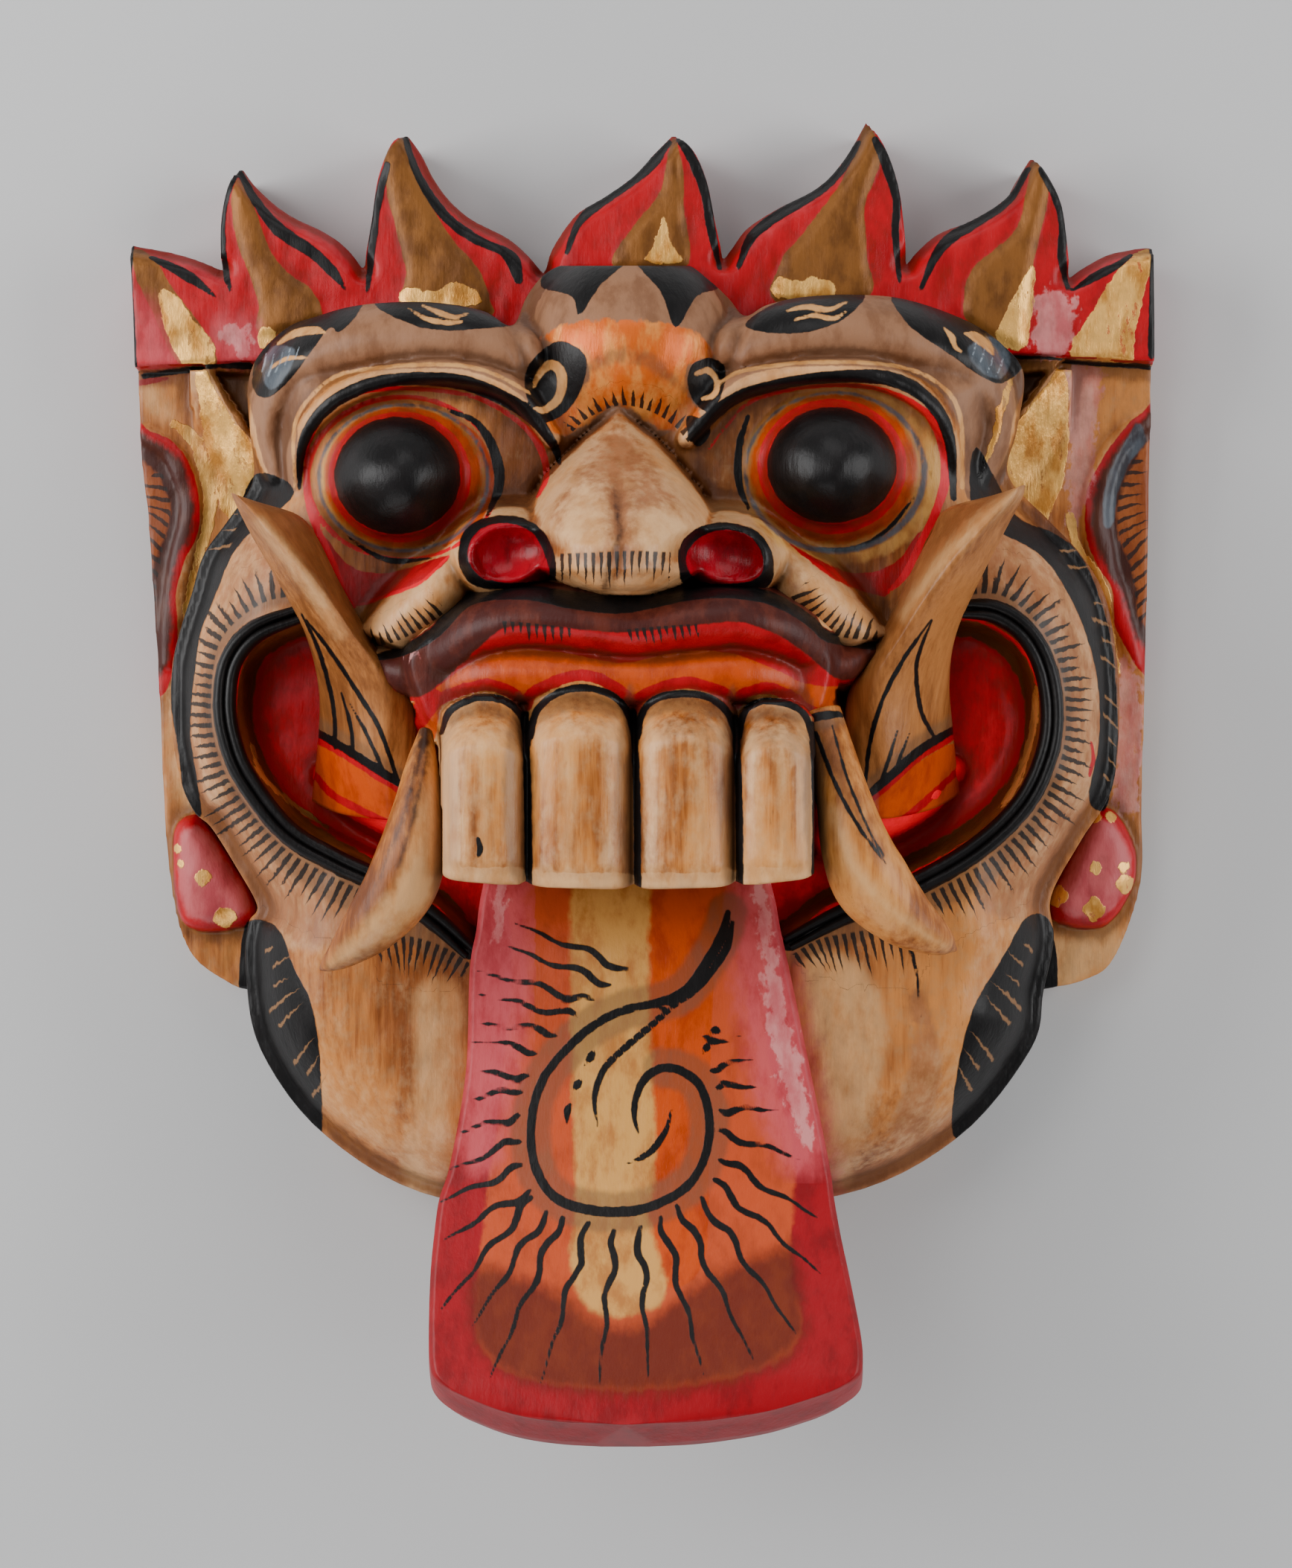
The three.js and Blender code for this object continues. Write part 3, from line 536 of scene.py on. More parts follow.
class Coats:
    def __init__(self, mesh):
        self.mesh = mesh
        places = np.empty(len(mesh.vertices) * 3, np.float32)
        mesh.vertices.foreach_get("co", places)
        normals = np.empty(len(mesh.vertices) * 3, np.float32)
        mesh.vertices.foreach_get("normal", normals)
        self.places = places.reshape(-1, 3).astype(float) * 1000
        self.facing = normals.reshape(-1, 3)[:, 2].astype(float)
        self.u, self.v = toSheet(self.places)
        self.depths = {}
        self.hollow = np.zeros(len(self.u), bool)

    def coat(self, name):
        if name not in self.depths:
            self.depths[name] = np.full(len(self.u), -9.0)
        return self.depths[name]

    def near(self, path, reach):
        low = path[:, :2].min(axis=0) - reach
        high = path[:, :2].max(axis=0) + reach
        return np.flatnonzero((self.u > low[0]) & (self.u < high[0]) & (self.v > low[1]) & (self.v < high[1]))

    def lay(self, name, picked, depth):
        coat = self.coat(name)
        coat[picked] = np.maximum(coat[picked], depth)

    def area(self, name, outline, rounded=True):
        outline = inRows(outline, 2)
        loop = smooth(outline, 5, closed=True) if rounded else outline
        picked = self.near(loop, brush["reach"])
        self.lay(name, picked, depthInside(self.u[picked], self.v[picked], loop))

    # A brush stroke along stations [u, v, half width in sheet units].
    def stroke(self, name, stations):
        path = smooth(inRows(stations, 3), 5)
        picked = self.near(path, brush["reach"])
        off, along = alongPath(self.u[picked], self.v[picked], path)
        half = np.interp(along, np.arange(len(path)), path[:, 2]) / unitsPerMm
        self.lay(name, picked, half - np.abs(off))

    # A ring between two ovals [u, v, ru, rv].
    def ring(self, name, outer, inner=None):
        depth = self.oval(outer)
        if inner:
            depth = np.minimum(depth, -self.oval(inner))
        self.lay(name, slice(None), depth)

    def oval(self, oval):
        u, v, ru, rv = oval
        reach = np.hypot((self.u - u) / ru, (self.v - v) / rv)
        return (1 - reach) * min(ru, rv) / unitsPerMm

    # Rows of short strokes that start on a path of stations [u, v, length] and point away to one side of it:
    # how far along the row, counted in strokes, and how far from start to end.
    def ticks(self, name, stations, pitch, side=1, lean=0.0):
        path = smooth(inRows(stations, 3), 5)
        picked = self.near(path, brush["tickReach"])
        off, along = alongPath(self.u[picked], self.v[picked], path)
        rows = np.arange(len(path))
        run = np.concatenate([[0], np.cumsum(np.hypot(np.diff(path[:, 0]), np.diff(path[:, 1])))])
        across = off * side * unitsPerMm / np.interp(along, rows, path[:, 2])
        count = np.interp(along, rows, run) / pitch + lean * across
        inRow = (along > 0) & (along < len(path) - 1) & (across > -0.3) & (across < 1.3)
        self.coat(name + "Across")[picked[inRow]] = across[inRow]
        self.coat(name + "Count")[picked[inRow]] = count[inRow] + 40 * (1 + len(self.depths))

    # Where the paint needs a dense skin.
    def busy(self):
        found = np.zeros(len(self.u), bool)
        for name, depth in self.depths.items():
            if name.endswith("Across"):
                found |= (depth > -0.2) & (depth < 1.2)
            elif not name.endswith("Count") and pigments[name]["edge"] < brush["crispEdge"]:
                found |= np.abs(depth) < brush["crispReach"]
        return found & (self.facing > 0)

    # What a value kept for each place of a board is at each corner of the mesh.
    def sampled(self, board, values):
        column = np.clip((self.u - board.us[0]) / board.spacing, 0, len(board.us) - 1.001)
        row = np.clip((board.vs[0] - self.v) / board.spacing, 0, len(board.vs) - 1.001)
        i, j = column.astype(int), row.astype(int)
        a, b = column - i, row - j
        near = values[i, j] * (1 - a) + values[i + 1, j] * a
        far = values[i, j + 1] * (1 - a) + values[i + 1, j + 1] * a
        return near * (1 - b) + far * b

    # Dirt settles in what lies low, laid darker there also as painted shade, and what stands out is rubbed
    # paler.
    def weatherAndShade(self, board):
        lower = self.sampled(board, recessOf(board))
        self.lay("patinaAndShade", slice(None), lower - brush["patinaAndShadeFrom"])
        self.lay("rubbed", slice(None), -lower - brush["rubbedFrom"])
        self.hollow = self.sampled(board, board.inside) > 3

    # Hands all coats to the mesh; the back and the hollow stay bare wood.
    def finish(self, names, backLimit=-0.25):
        inHollow = (self.facing + 0.02) * brush["hollowFade"]
        behind = np.where(self.hollow, inHollow, (self.facing - backLimit) * brush["backFade"])
        for name in names:
            depth = self.coat(name)
            if not name.endswith("Count"):
                depth = np.minimum(depth, behind)
            attribute = self.mesh.attributes.new(name, "FLOAT", "POINT")
            attribute.data.foreach_set("value", depth.astype(np.float32))


def srgb(red, green, blue):
    shares = [value / 255 for value in (red, green, blue)]
    return tuple(s / 12.92 if s <= 0.04045 else ((s + 0.055) / 1.055) ** 2.4 for s in shares) + (1.0,)


# A short way to build shader trees: plain numbers, colours or sockets go in, a socket comes out.
class Tree:
    def __init__(self, name):
        self.material = bpy.data.materials.new(name)
        self.material.use_nodes = True
        self.nodes = self.material.node_tree.nodes
        self.links = self.material.node_tree.links
        self.shader = self.nodes["Principled BSDF"]

    def node(self, kind, settings=None, **inputs):
        made = self.nodes.new(kind)
        for key, value in (settings or {}).items():
            setattr(made, key, value)
        for key, value in inputs.items():
            self.put(made.inputs[key], value)
        return made

    def put(self, socket, value):
        if isinstance(value, bpy.types.NodeSocket):
            self.links.new(value, socket)
        else:
            socket.default_value = value

    def math(self, operation, first, second=0.0, third=0.0, clamp=False):
        made = self.nodes.new("ShaderNodeMath")
        made.operation = operation
        made.use_clamp = clamp
        for socket, value in zip(made.inputs, (first, second, third)):
            self.put(socket, value)
        return made.outputs[0]

    def ramp(self, value, start, end, low=0.0, high=1.0):
        made = self.nodes.new("ShaderNodeMapRange")
        made.interpolation_type = "SMOOTHSTEP"
        for key, given in (("Value", value), ("From Min", start), ("From Max", end), ("To Min", low),
                           ("To Max", high)):
            self.put(made.inputs[key], given)
        return made.outputs["Result"]

    def blend(self, share, first, second):
        made = self.nodes.new("ShaderNodeMix")
        made.data_type = "RGBA"
        self.put(made.inputs["Factor"], share)
        self.put(made.inputs[6], first)
        self.put(made.inputs[7], second)
        return made.outputs[2]

    def mix(self, share, first, second):
        made = self.nodes.new("ShaderNodeMix")
        self.put(made.inputs["Factor"], share)
        self.put(made.inputs[2], first)
        self.put(made.inputs[3], second)
        return made.outputs[0]

    # Noise over the carving, in features per metre, drawn out along the wood's grain (up and down the mask).
    def noise(self, perMetre, detail=3.0, stretch=1.0, rough=0.55, offset=0.0):
        place = self.node("ShaderNodeTexCoord").outputs["Object"]
        scaled = self.node("ShaderNodeMapping", Vector=place, Location=(offset, offset * 0.7, offset * 0.3),
                           Scale=(1.0, 1.0 / stretch, 1.0)).outputs["Vector"]
        return self.node("ShaderNodeTexNoise", Vector=scaled, Scale=perMetre, Detail=detail,
                         Roughness=rough).outputs["Fac"]

    def attribute(self, name):
        return self.node("ShaderNodeAttribute", {"attribute_name": name}).outputs["Fac"]


# What every coat is made of, from the lowest up: its two colours, how much of what is below it covers, how
# soft its border is and how far the border strays, both in mm, and how rough it is.
def pigment(colour, mottle, cover, edge, ragged, rough, **more):
    return {"colour": colour, "mottle": mottle, "cover": cover, "edge": edge, "ragged": ragged,
            "rough": rough, **more}


pigments = {
    "tongueRed": pigment((146, 2, 18), (122, 4, 14), 1.0, 0.3, 0.5, 0.42),
    "umber": pigment((104, 56, 26), (132, 76, 40), 0.75, 2.5, 3.0, 0.45),
    "tanBand": pigment((160, 104, 66), (134, 82, 48), 0.85, 1.2, 1.2, 0.42),
    # Pale tan: the mask's own paint on the chin and the slab's corners, and painted highlights on the nose's
    # lobes, the teeth, the fangs and the tusks.
    "pale": pigment((216, 166, 112), (196, 138, 84), 0.75, 2.4, 1.5, 0.32),
    "rubbed": pigment((226, 182, 132), (206, 152, 98), 0.45, 0.9, 1.6, 0.34),
    "bronze": pigment((142, 100, 72), (120, 80, 54), 1.0, 0.25, 0.5, 0.5),
    "copper": pigment((204, 92, 20), (222, 140, 66), 1.0, 0.5, 1.6, 0.34, metal=0.2),
    "salmon": pigment((188, 74, 32), (168, 64, 24), 0.9, 0.8, 1.4, 0.42),
    "orange": pigment((188, 66, 0), (160, 48, 0), 0.96, 0.3, 0.5, 0.36),
    "goldTan": pigment((204, 152, 78), (172, 112, 52), 0.9, 1.0, 1.4, 0.36),
    "brownRed": pigment((80, 18, 6), (100, 34, 10), 0.88, 3.0, 2.0, 0.45),
    "red": pigment((172, 3, 20), (146, 4, 16), 1.0, 0.15, 0.5, 0.38),
    "ringRed": pigment((216, 2, 32), (198, 2, 26), 1.0, 0.15, 0.35, 0.4),
    "burgundy": pigment((62, 20, 14), (86, 34, 22), 1.0, 0.3, 0.5, 0.46),
    "blade": pigment((128, 80, 34), (98, 58, 22), 1.0, 0.2, 0.5, 0.42, metal=0.3),
    "redWall": pigment((255, 8, 38), (238, 5, 30), 1.0, 0.3, 0.9, 0.4),
    # Pinkish worn paint on the crown and chin, and painted highlights on the tongue's flanks.
    "worn": pigment((192, 78, 84), (172, 52, 60), 0.85, 4.0, 3.2, 0.5),
    "rose": pigment((180, 88, 90), (162, 64, 70), 0.9, 0.8, 1.2, 0.45),
    # Whitish worn paint on the crown and ears, and painted highlights on the tongue's flanks.
    "wornWhite": pigment((214, 152, 148), (200, 110, 112), 0.6, 0.8, 5.0, 0.5),
    "deepRed": pigment((176, 6, 20), (150, 5, 16), 0.7, 1.6, 1.6, 0.36),
    # A soft grey-brown glaze: the mask's own paint on the teeth's tops, round the tongue's swirl and along
    # the rings, and painted shade between the teeth, along the fangs' sides, above the tusks' bases and below
    # the mouth's rims.
    "glaze": pigment((88, 66, 48), (104, 80, 58), 0.55, 1.0, 0.8, 0.38),
    "gold": pigment((242, 184, 98), (188, 124, 50), 1.0, 0.15, 1.2, 0.34, metal=0.5, cracked=True),
    # Dark brown laid where the carving lies low: dirt, and painted shade in the recesses.
    "patinaAndShade": pigment((54, 28, 14), (72, 40, 20), 0.6, 0.9, 0.9, 0.45),
    "dusk": pigment((44, 24, 16), (66, 36, 22), 0.95, 1.1, 1.5, 0.38),
    "black": pigment((11, 9, 9), (20, 17, 17), 1.0, 0.16, 0.35, 0.4, lift=0.07),
    "nostril": pigment((158, 2, 26), (116, 0, 12), 1.0, 0.15, 0.4, 0.3),
    # A blue-grey coat: paint in the rings round the eyes and on the right ear, and painted sheen on the
    # brows' black patches.
    "slate": pigment((78, 86, 94), (50, 54, 60), 0.85, 0.35, 0.5, 0.32),
    "earWood": pigment((122, 58, 22), (148, 80, 38), 1.0, 0.5, 1.0, 0.4),
    "tanLine": pigment((206, 150, 90), (178, 118, 62), 1.0, 0.2, 0.4, 0.4),
    # Bluish streaks of painted sheen on the brows' black patches.
    "browSheen": pigment((150, 160, 168), (110, 120, 130), 0.7, 0.15, 0.3, 0.35),
}


# Lays the rows of a table in turn. A row says how, names the coat and goes on with its shapes, or for a ring
# or a row of ticks with what that takes. A facet is an area with straight edges.
def layRows(coats, rows):
    for how, name, *given in rows:
        if how in ("area", "stroke"):
            for shape in given:
                getattr(coats, how)(name, shape)
        elif how == "facet":
            for shape in given:
                coats.area(name, shape, rounded=False)
        else:
            getattr(coats, how)(name, *given)


# Patterns in wood and paint: features per metre, detail, how far drawn out along the grain, roughness, and
# where in the noise they start.
patterns = {
    "grain": (620.0, 3.0, 14.0, 0.65, 2.0),
    "pores": (1500.0, 2.0, 7.0, 0.6, 5.0),
    "swells": (240.0, 5.0, 2.0, 0.6, 12.0),
    "wander": (420.0, 4.0, 1.6, 0.6, 3.0),
    "mottle": (170.0, 5.0, 2.2, 0.62, 7.0),
    "cracks": (330.0, 6.0, 3.0, 0.7, 9.0),
}
varnish = {
    "poreColour": (96, 62, 36),
    "poreShare": 0.35,
    "grainRelief": 0.16,
    "poreRelief": -0.07,
    "swellRelief": 0.5,
    "crackRelief": 0.5,
    "borderStray": 2.2,      # how strongly a coat's ragged border follows the noise
    "specular": 0.22,
    "bumpStrength": 0.7,
    "bumpDistance": 0.0008,  # m
}


# The wood under the coats: honey-brown varnish over pale wood, with darker patches, grain and pores.
def woodMaterial(name, look, coats, rows=()):
    tree = Tree(name)
    cloud = tree.noise(look["patchesPerMetre"], 4.0, 2.6, 0.6, look.get("offset", 0.0))
    grain = tree.noise(*patterns["grain"])
    pores = tree.noise(*patterns["pores"])
    share = tree.math("MULTIPLY_ADD", grain, 0.35, tree.math("MULTIPLY", cloud, 0.9))
    colour = tree.blend(tree.ramp(share, 0.46, 0.74), srgb(*look["light"]), srgb(*look["middle"]))
    colour = tree.blend(tree.ramp(share, 0.58, 0.84, 0.0, look["darkShare"]), colour, srgb(*look["dark"]))
    inPores = tree.ramp(pores, 0.64, 0.72, 0.0, varnish["poreShare"])
    colour = tree.blend(inPores, colour, srgb(*varnish["poreColour"]))
    rough = tree.mix(cloud, look["rough"] - 0.06, look["rough"] + 0.08)
    metal = 0.0
    relief = tree.math("MULTIPLY_ADD", grain, varnish["grainRelief"],
                       tree.math("MULTIPLY", pores, varnish["poreRelief"]))
    relief = tree.math("MULTIPLY_ADD", tree.noise(*patterns["swells"]), varnish["swellRelief"], relief)
    wander = tree.math("SUBTRACT", tree.noise(*patterns["wander"]), 0.5)
    mottle = tree.noise(*patterns["mottle"])
    cracks = tree.noise(*patterns["cracks"])
    for coat in coats:
        made = pigments[coat]
        stray = made["ragged"] * varnish["borderStray"]
        depth = tree.math("MULTIPLY_ADD", wander, stray, tree.attribute(coat))
        covered = tree.ramp(depth, -made["edge"], made["edge"], 0.0, made["cover"])
        paint = tree.blend(tree.ramp(mottle, 0.42, 0.66), srgb(*made["colour"]), srgb(*made["mottle"]))
        if made.get("cracked"):
            covered = tree.math("MULTIPLY", covered, tree.ramp(cracks, 0.60, 0.64, 1.0, 0.35))
            cracked = tree.math("MULTIPLY", covered, cracks)
            relief = tree.math("MULTIPLY_ADD", cracked, varnish["crackRelief"], relief)
        colour = tree.blend(covered, colour, paint)
        rough = tree.mix(covered, rough, made["rough"])
        if made.get("metal") or metal != 0.0:
            metal = tree.mix(covered, metal, made.get("metal", 0.0))
        if made.get("lift"):
            relief = tree.math("MULTIPLY_ADD", covered, made["lift"], relief)
    for row in rows:
        across = tree.attribute(row["name"] + "Across")
        count = tree.attribute(row["name"] + "Count")
        swayed = tree.math("MULTIPLY_ADD", wander, 0.5, count)
        luck = tree.node("ShaderNodeTexWhiteNoise", {"noise_dimensions": "1D"},
                         W=tree.math("FLOOR", swayed)).outputs["Value"]
        second = tree.math("FRACT", tree.math("MULTIPLY", luck, 7.3))
        late = tree.math("MULTIPLY", second, row.get("stagger", 0.0))
        begun = tree.math("SUBTRACT", across, late)
        fromMiddle = tree.math("SUBTRACT", tree.math("FRACT", swayed), 0.5)
        beside = tree.math("MULTIPLY", tree.math("ABSOLUTE", fromMiddle), 2.0)
        reach = tree.math("DIVIDE", across, tree.math("MULTIPLY_ADD", luck, 0.45, 0.6))
        taper = tree.math("SUBTRACT", 1.0, tree.math("POWER", tree.math("MAXIMUM", reach, 0.0), 1.8))
        inside = tree.math("SUBTRACT", tree.math("MULTIPLY", taper, row["fill"]), beside)
        started = tree.ramp(begun, -0.03, 0.03, 0.0, row["cover"])
        drawn = tree.math("MULTIPLY", tree.ramp(inside, -0.08, 0.1), started)
        if row.get("skipped"):
            drawn = tree.math("MULTIPLY", drawn, tree.math("GREATER_THAN", luck, row["skipped"]))
        colour = tree.blend(drawn, colour, srgb(*row["colour"]))
    tree.put(tree.shader.inputs["Base Color"], colour)
    tree.put(tree.shader.inputs["Roughness"], rough)
    if metal != 0.0:
        tree.put(tree.shader.inputs["Metallic"], metal)
    tree.shader.inputs["Specular IOR Level"].default_value = varnish["specular"]
    bump = tree.node("ShaderNodeBump", Strength=varnish["bumpStrength"], Distance=varnish["bumpDistance"],
                     Height=relief)
    tree.put(tree.shader.inputs["Normal"], bump.outputs["Normal"])
    return tree.material


# Which colours go where. Areas are runs of u,v, strokes runs of u,v,half width and ticks runs of u,v,length,
# all in sheet units.
crownPaint = [
    ("area", "blade", [178,332, 209,349, 232,388, 268,435, 292,488, 240,488, 205,420, 182,370]),
    ("area", "gold",
     [214,392, 238,398, 262,432, 284,470, 286,488, 246,488, 222,440],
     [270,440, 286,462, 290,488, 272,488],
     [348,442, 366,440, 370,462, 350,468],
     [892,292, 902,330, 918,352, 870,352, 878,330],
     [1044,372, 1072,378, 1090,372, 1119,380, 1116,398, 1042,400],
     [545,385, 580,392, 612,380, 640,392, 642,410, 545,408],
     [1387,354, 1389,400, 1376,467, 1339,456, 1362,400],
     [1542,333, 1549,345, 1537,397, 1524,451, 1518,488, 1443,482, 1441,461, 1467,419, 1489,381, 1518,346]),
    ("stroke", "worn",
     [330,236,3, 370,272,5, 430,305,7, 470,345,5],
     [238,341,4, 270,362,5, 292,372,3],
     [690,318,4, 712,345,4],
     [1240,330,3, 1264,306,4, 1310,288,3],
     [1445,372,4, 1480,348,6, 1530,331,3],
     [1000,322,3, 1040,286,4, 1080,262,3]),
    ("area", "worn", [186,404, 214,420, 240,486, 190,492], [286,430, 330,430, 352,452, 348,484, 300,486]),
    ("area", "wornWhite",
     [300,440, 330,438, 340,460, 316,478],
     [1394,392, 1440,396, 1442,440, 1428,476, 1394,478, 1390,430]),
    ("stroke", "black",
     [176,330,3, 175,380,3.5, 181,495,3.5],
     [203,346,3, 228,358,6, 257,374,7, 289,398,2],
     [188,502,4, 260,494,3, 335,490,4],
     [1441,390,2, 1473,371,6, 1500,357,5, 1520,343,3],
     [1549,335,3, 1548,400,4, 1547,478,5],
     [1362,477,2, 1440,484,2, 1550,491,2.5],
     [320,226,4, 303,269,4, 299,317,4, 303,365,5, 311,394,2],
     [322,232,4, 343,269,6, 375,309,9, 418,338,8, 447,365,7, 463,388,2],
     [520,222,5, 508,270,5.5, 499,338,5.5, 494,392,3],
     [544,184,4, 562,236,5.5, 595,287,7, 632,317,7, 672,336,6],
     [676,336,6, 690,352,10, 697,376,6],
     [897,190,6, 874,220,9, 842,246,8, 800,276,8, 777,300,6, 761,340,3],
     [914,186,6, 934,222,7, 948,262,6.5, 956,310,6, 967,360,3],
     [1154,190,4, 1130,226,7, 1100,255,8, 1046,288,8, 1010,318,7, 992,360,3],
     [1176,188,5, 1196,230,9, 1205,270,6, 1203,315,5, 1209,378,3],
     [1382,226,4, 1354,268,7, 1312,297,8, 1274,322,8, 1254,350,6, 1238,387,3],
     [1401,228,6, 1421,268,7, 1429,302,6.5, 1427,345,6, 1435,389,3]),
    ("stroke", "red", [182,511,4, 200,508,4, 222,505,2]),
]
# The ears' inner facets beside the gilded wedges, painted dark as their shade.
shadedEarFacets = [
    [279,496, 336,492, 352,606, 318,570],
    [1366,483, 1426,485, 1385,540, 1336,590],
    [1300,604, 1342,598, 1352,660, 1300,650],
]
earPaint = [
    ("facet", "gold",
     [262,499, 279,499, 300,545, 330,585, 352,612, 345,655, 314,706, 298,690, 283,650, 268,560],
     [1426,487, 1436,520, 1440,590, 1430,650, 1407,706, 1376,672, 1346,624, 1336,596, 1385,545]),
    ("stroke", "gold", [232,566,6, 258,592,9, 274,640,8, 278,690,8, 268,735,6, 250,800,4, 246,840,2]),
    ("area", "pale",
     [1412,1262, 1460,1255, 1505,1240, 1498,1290, 1450,1322, 1404,1330],
     [240,920, 252,1000, 256,1080, 240,1092, 222,1020, 222,940],
     [198,512, 222,540, 232,560, 206,556, 190,530]),
    ("stroke", "gold", [1441,690,5, 1451,734,7, 1473,768,8, 1489,803,6, 1494,845,6, 1500,884,6,
     1508,905,3]),
    ("area", "red",
     [150,575, 200,578, 232,594, 256,630, 266,676, 262,716, 246,752, 235,790, 236,835, 234,880, 226,912,
      208,936, 150,940],
     [1580,545, 1540,550, 1508,580, 1483,617, 1464,656, 1461,712, 1477,760, 1496,790, 1500,835, 1515,868,
      1540,905, 1580,910]),
    ("area", "dusk",
     [150,583, 198,587, 228,602, 249,634, 259,677, 255,713, 240,749, 228,790, 229,836, 227,876, 218,900,
      150,920],
     [1580,552, 1542,558, 1514,586, 1489,622, 1471,660, 1468,710, 1484,752, 1505,788, 1520,830, 1534,860,
      1580,880]),
    ("area", "slate", [1532,566, 1512,596, 1494,632, 1485,668, 1486,706, 1500,700, 1506,660, 1522,620,
     1544,590]),
    ("area", "earWood",
     [150,604, 186,616, 206,634, 220,662, 226,690, 216,722, 202,760, 197,800, 199,840, 195,876, 150,884],
     [1580,580, 1548,592, 1528,618, 1512,655, 1504,690, 1508,722, 1520,750, 1532,790, 1536,830, 1580,850]),
    ("ticks", "hatch", [214,630,50, 226,680,52, 216,730,46, 206,790,36, 204,860,30], 17, 1, 1.4),
    ("ticks", "hatch", [1528,610,34, 1508,660,50, 1506,710,50, 1522,760,40, 1536,840,26], 17, -1, 1.2),
    ("area", "wornWhite",
     [1435,496, 1482,496, 1478,560, 1470,640, 1452,700, 1440,700, 1440,600],
     [1508,890, 1538,930, 1536,1080, 1505,1085, 1500,1000]),
]
knobDots = [
    (239,1141,7), (244,1160,6), (272,1179,12), (303,1233,15), (1472,1098,8), (1492,1098,8), (1472,1167,9),
    (1420,1205,15), (1470,1222,16), (1512,1188,14), (1510,1165,8),
]
knobStroke = [
    ("stroke", "umber", [255,1115,2, 270,1114,3]),
]


def paintSlab(coats):
    coats.weatherAndShade(carved["crownAndEars"])
    # Crown: red flames with bronze blades, black lines along their edges.
    coats.area("red", crownFoot[::-1] + [[100, 100], [1600, 100]], rounded=False)
    for blade in bronzeBlades:
        coats.area("blade", blade)
    layRows(coats, crownPaint)
    # Ears: gilded wedge, dark inner facet painted as its shade, red-edged auricle with dark hatching, gilt
    # stripe, knobs.
    for facet in shadedEarFacets:
        coats.area("umber", facet, rounded=False)
        coats.area("blade", facet, rounded=False)
    layRows(coats, earPaint)
    for outline in (leftKnob, rightKnob):
        coats.area("red", outline)
        middle = np.mean(outline, axis=0)
        coats.area("rose", (np.array(outline) - middle) * 0.8 + middle)
    for u, v, size in knobDots:
        coats.area("gold", [[u - size, v], [u, v - size], [u + size, v], [u, v + size]])
    layRows(coats, knobStroke)
    # The sawn sides below the edges are plain red and brown.
    for name in ("black", "blade", "gold", "worn", "wornWhite", "dusk", "slate"):
        coats.coat(name)[coats.facing < 0.12] = -9
    paintHair(coats)


hairRows = [
    ([284,790,26, 308,740,28, 336,700,28], -1),
    ([1478,1050,26, 1482,960,26, 1474,860,30, 1440,780,36, 1390,715,30], 1),
    ([350,1270,34, 356,1340,46, 378,1400,48, 420,1480,40], -1),
    ([1395,1270,34, 1380,1340,50, 1340,1420,54, 1300,1480,40], 1),
]


def paintHair(coats):
    for outline in hairPatches:
        coats.area("black", outline)
    for stations, side in hairRows:
        coats.ticks("hair", stations, 26, side, 0.9)


hairPatches = [
    [345,636, 396,662, 336,716, 310,750, 290,800, 270,850, 262,900, 257,950, 257,1000, 265,1050, 270,1098,
     248,1070, 238,1000, 230,950, 231,900, 241,850, 256,800, 271,745, 306,698],
    [1312,600, 1363,690, 1411,714, 1448,741, 1474,792, 1494,865, 1501,947, 1501,1008, 1491,1084, 1463,1076,
     1476,998, 1476,927, 1460,855, 1430,789, 1394,743, 1310,690],
    [330,1240, 318,1300, 322,1376, 345,1430, 395,1500, 430,1530, 431,1440, 425,1380, 415,1340, 395,1300,
     372,1246],
    [1380,1232, 1412,1240, 1425,1320, 1405,1400, 1352,1480, 1290,1530, 1279,1500, 1290,1420, 1310,1350,
     1350,1282],
]

ringMiddle = {
    "left": inRows([400,800,46, 350,812,44, 298,858,40, 284,930,40, 289,1000,44, 316,1062,56, 376,1134,66,
        440,1174,66, 510,1206,60], 3),
    "right": inRows([1290,800,50, 1345,800,50, 1392,836,46, 1422,890,42, 1432,950,42, 1426,1018,46,
        1392,1092,56, 1328,1154,64, 1245,1204,60], 3),
}


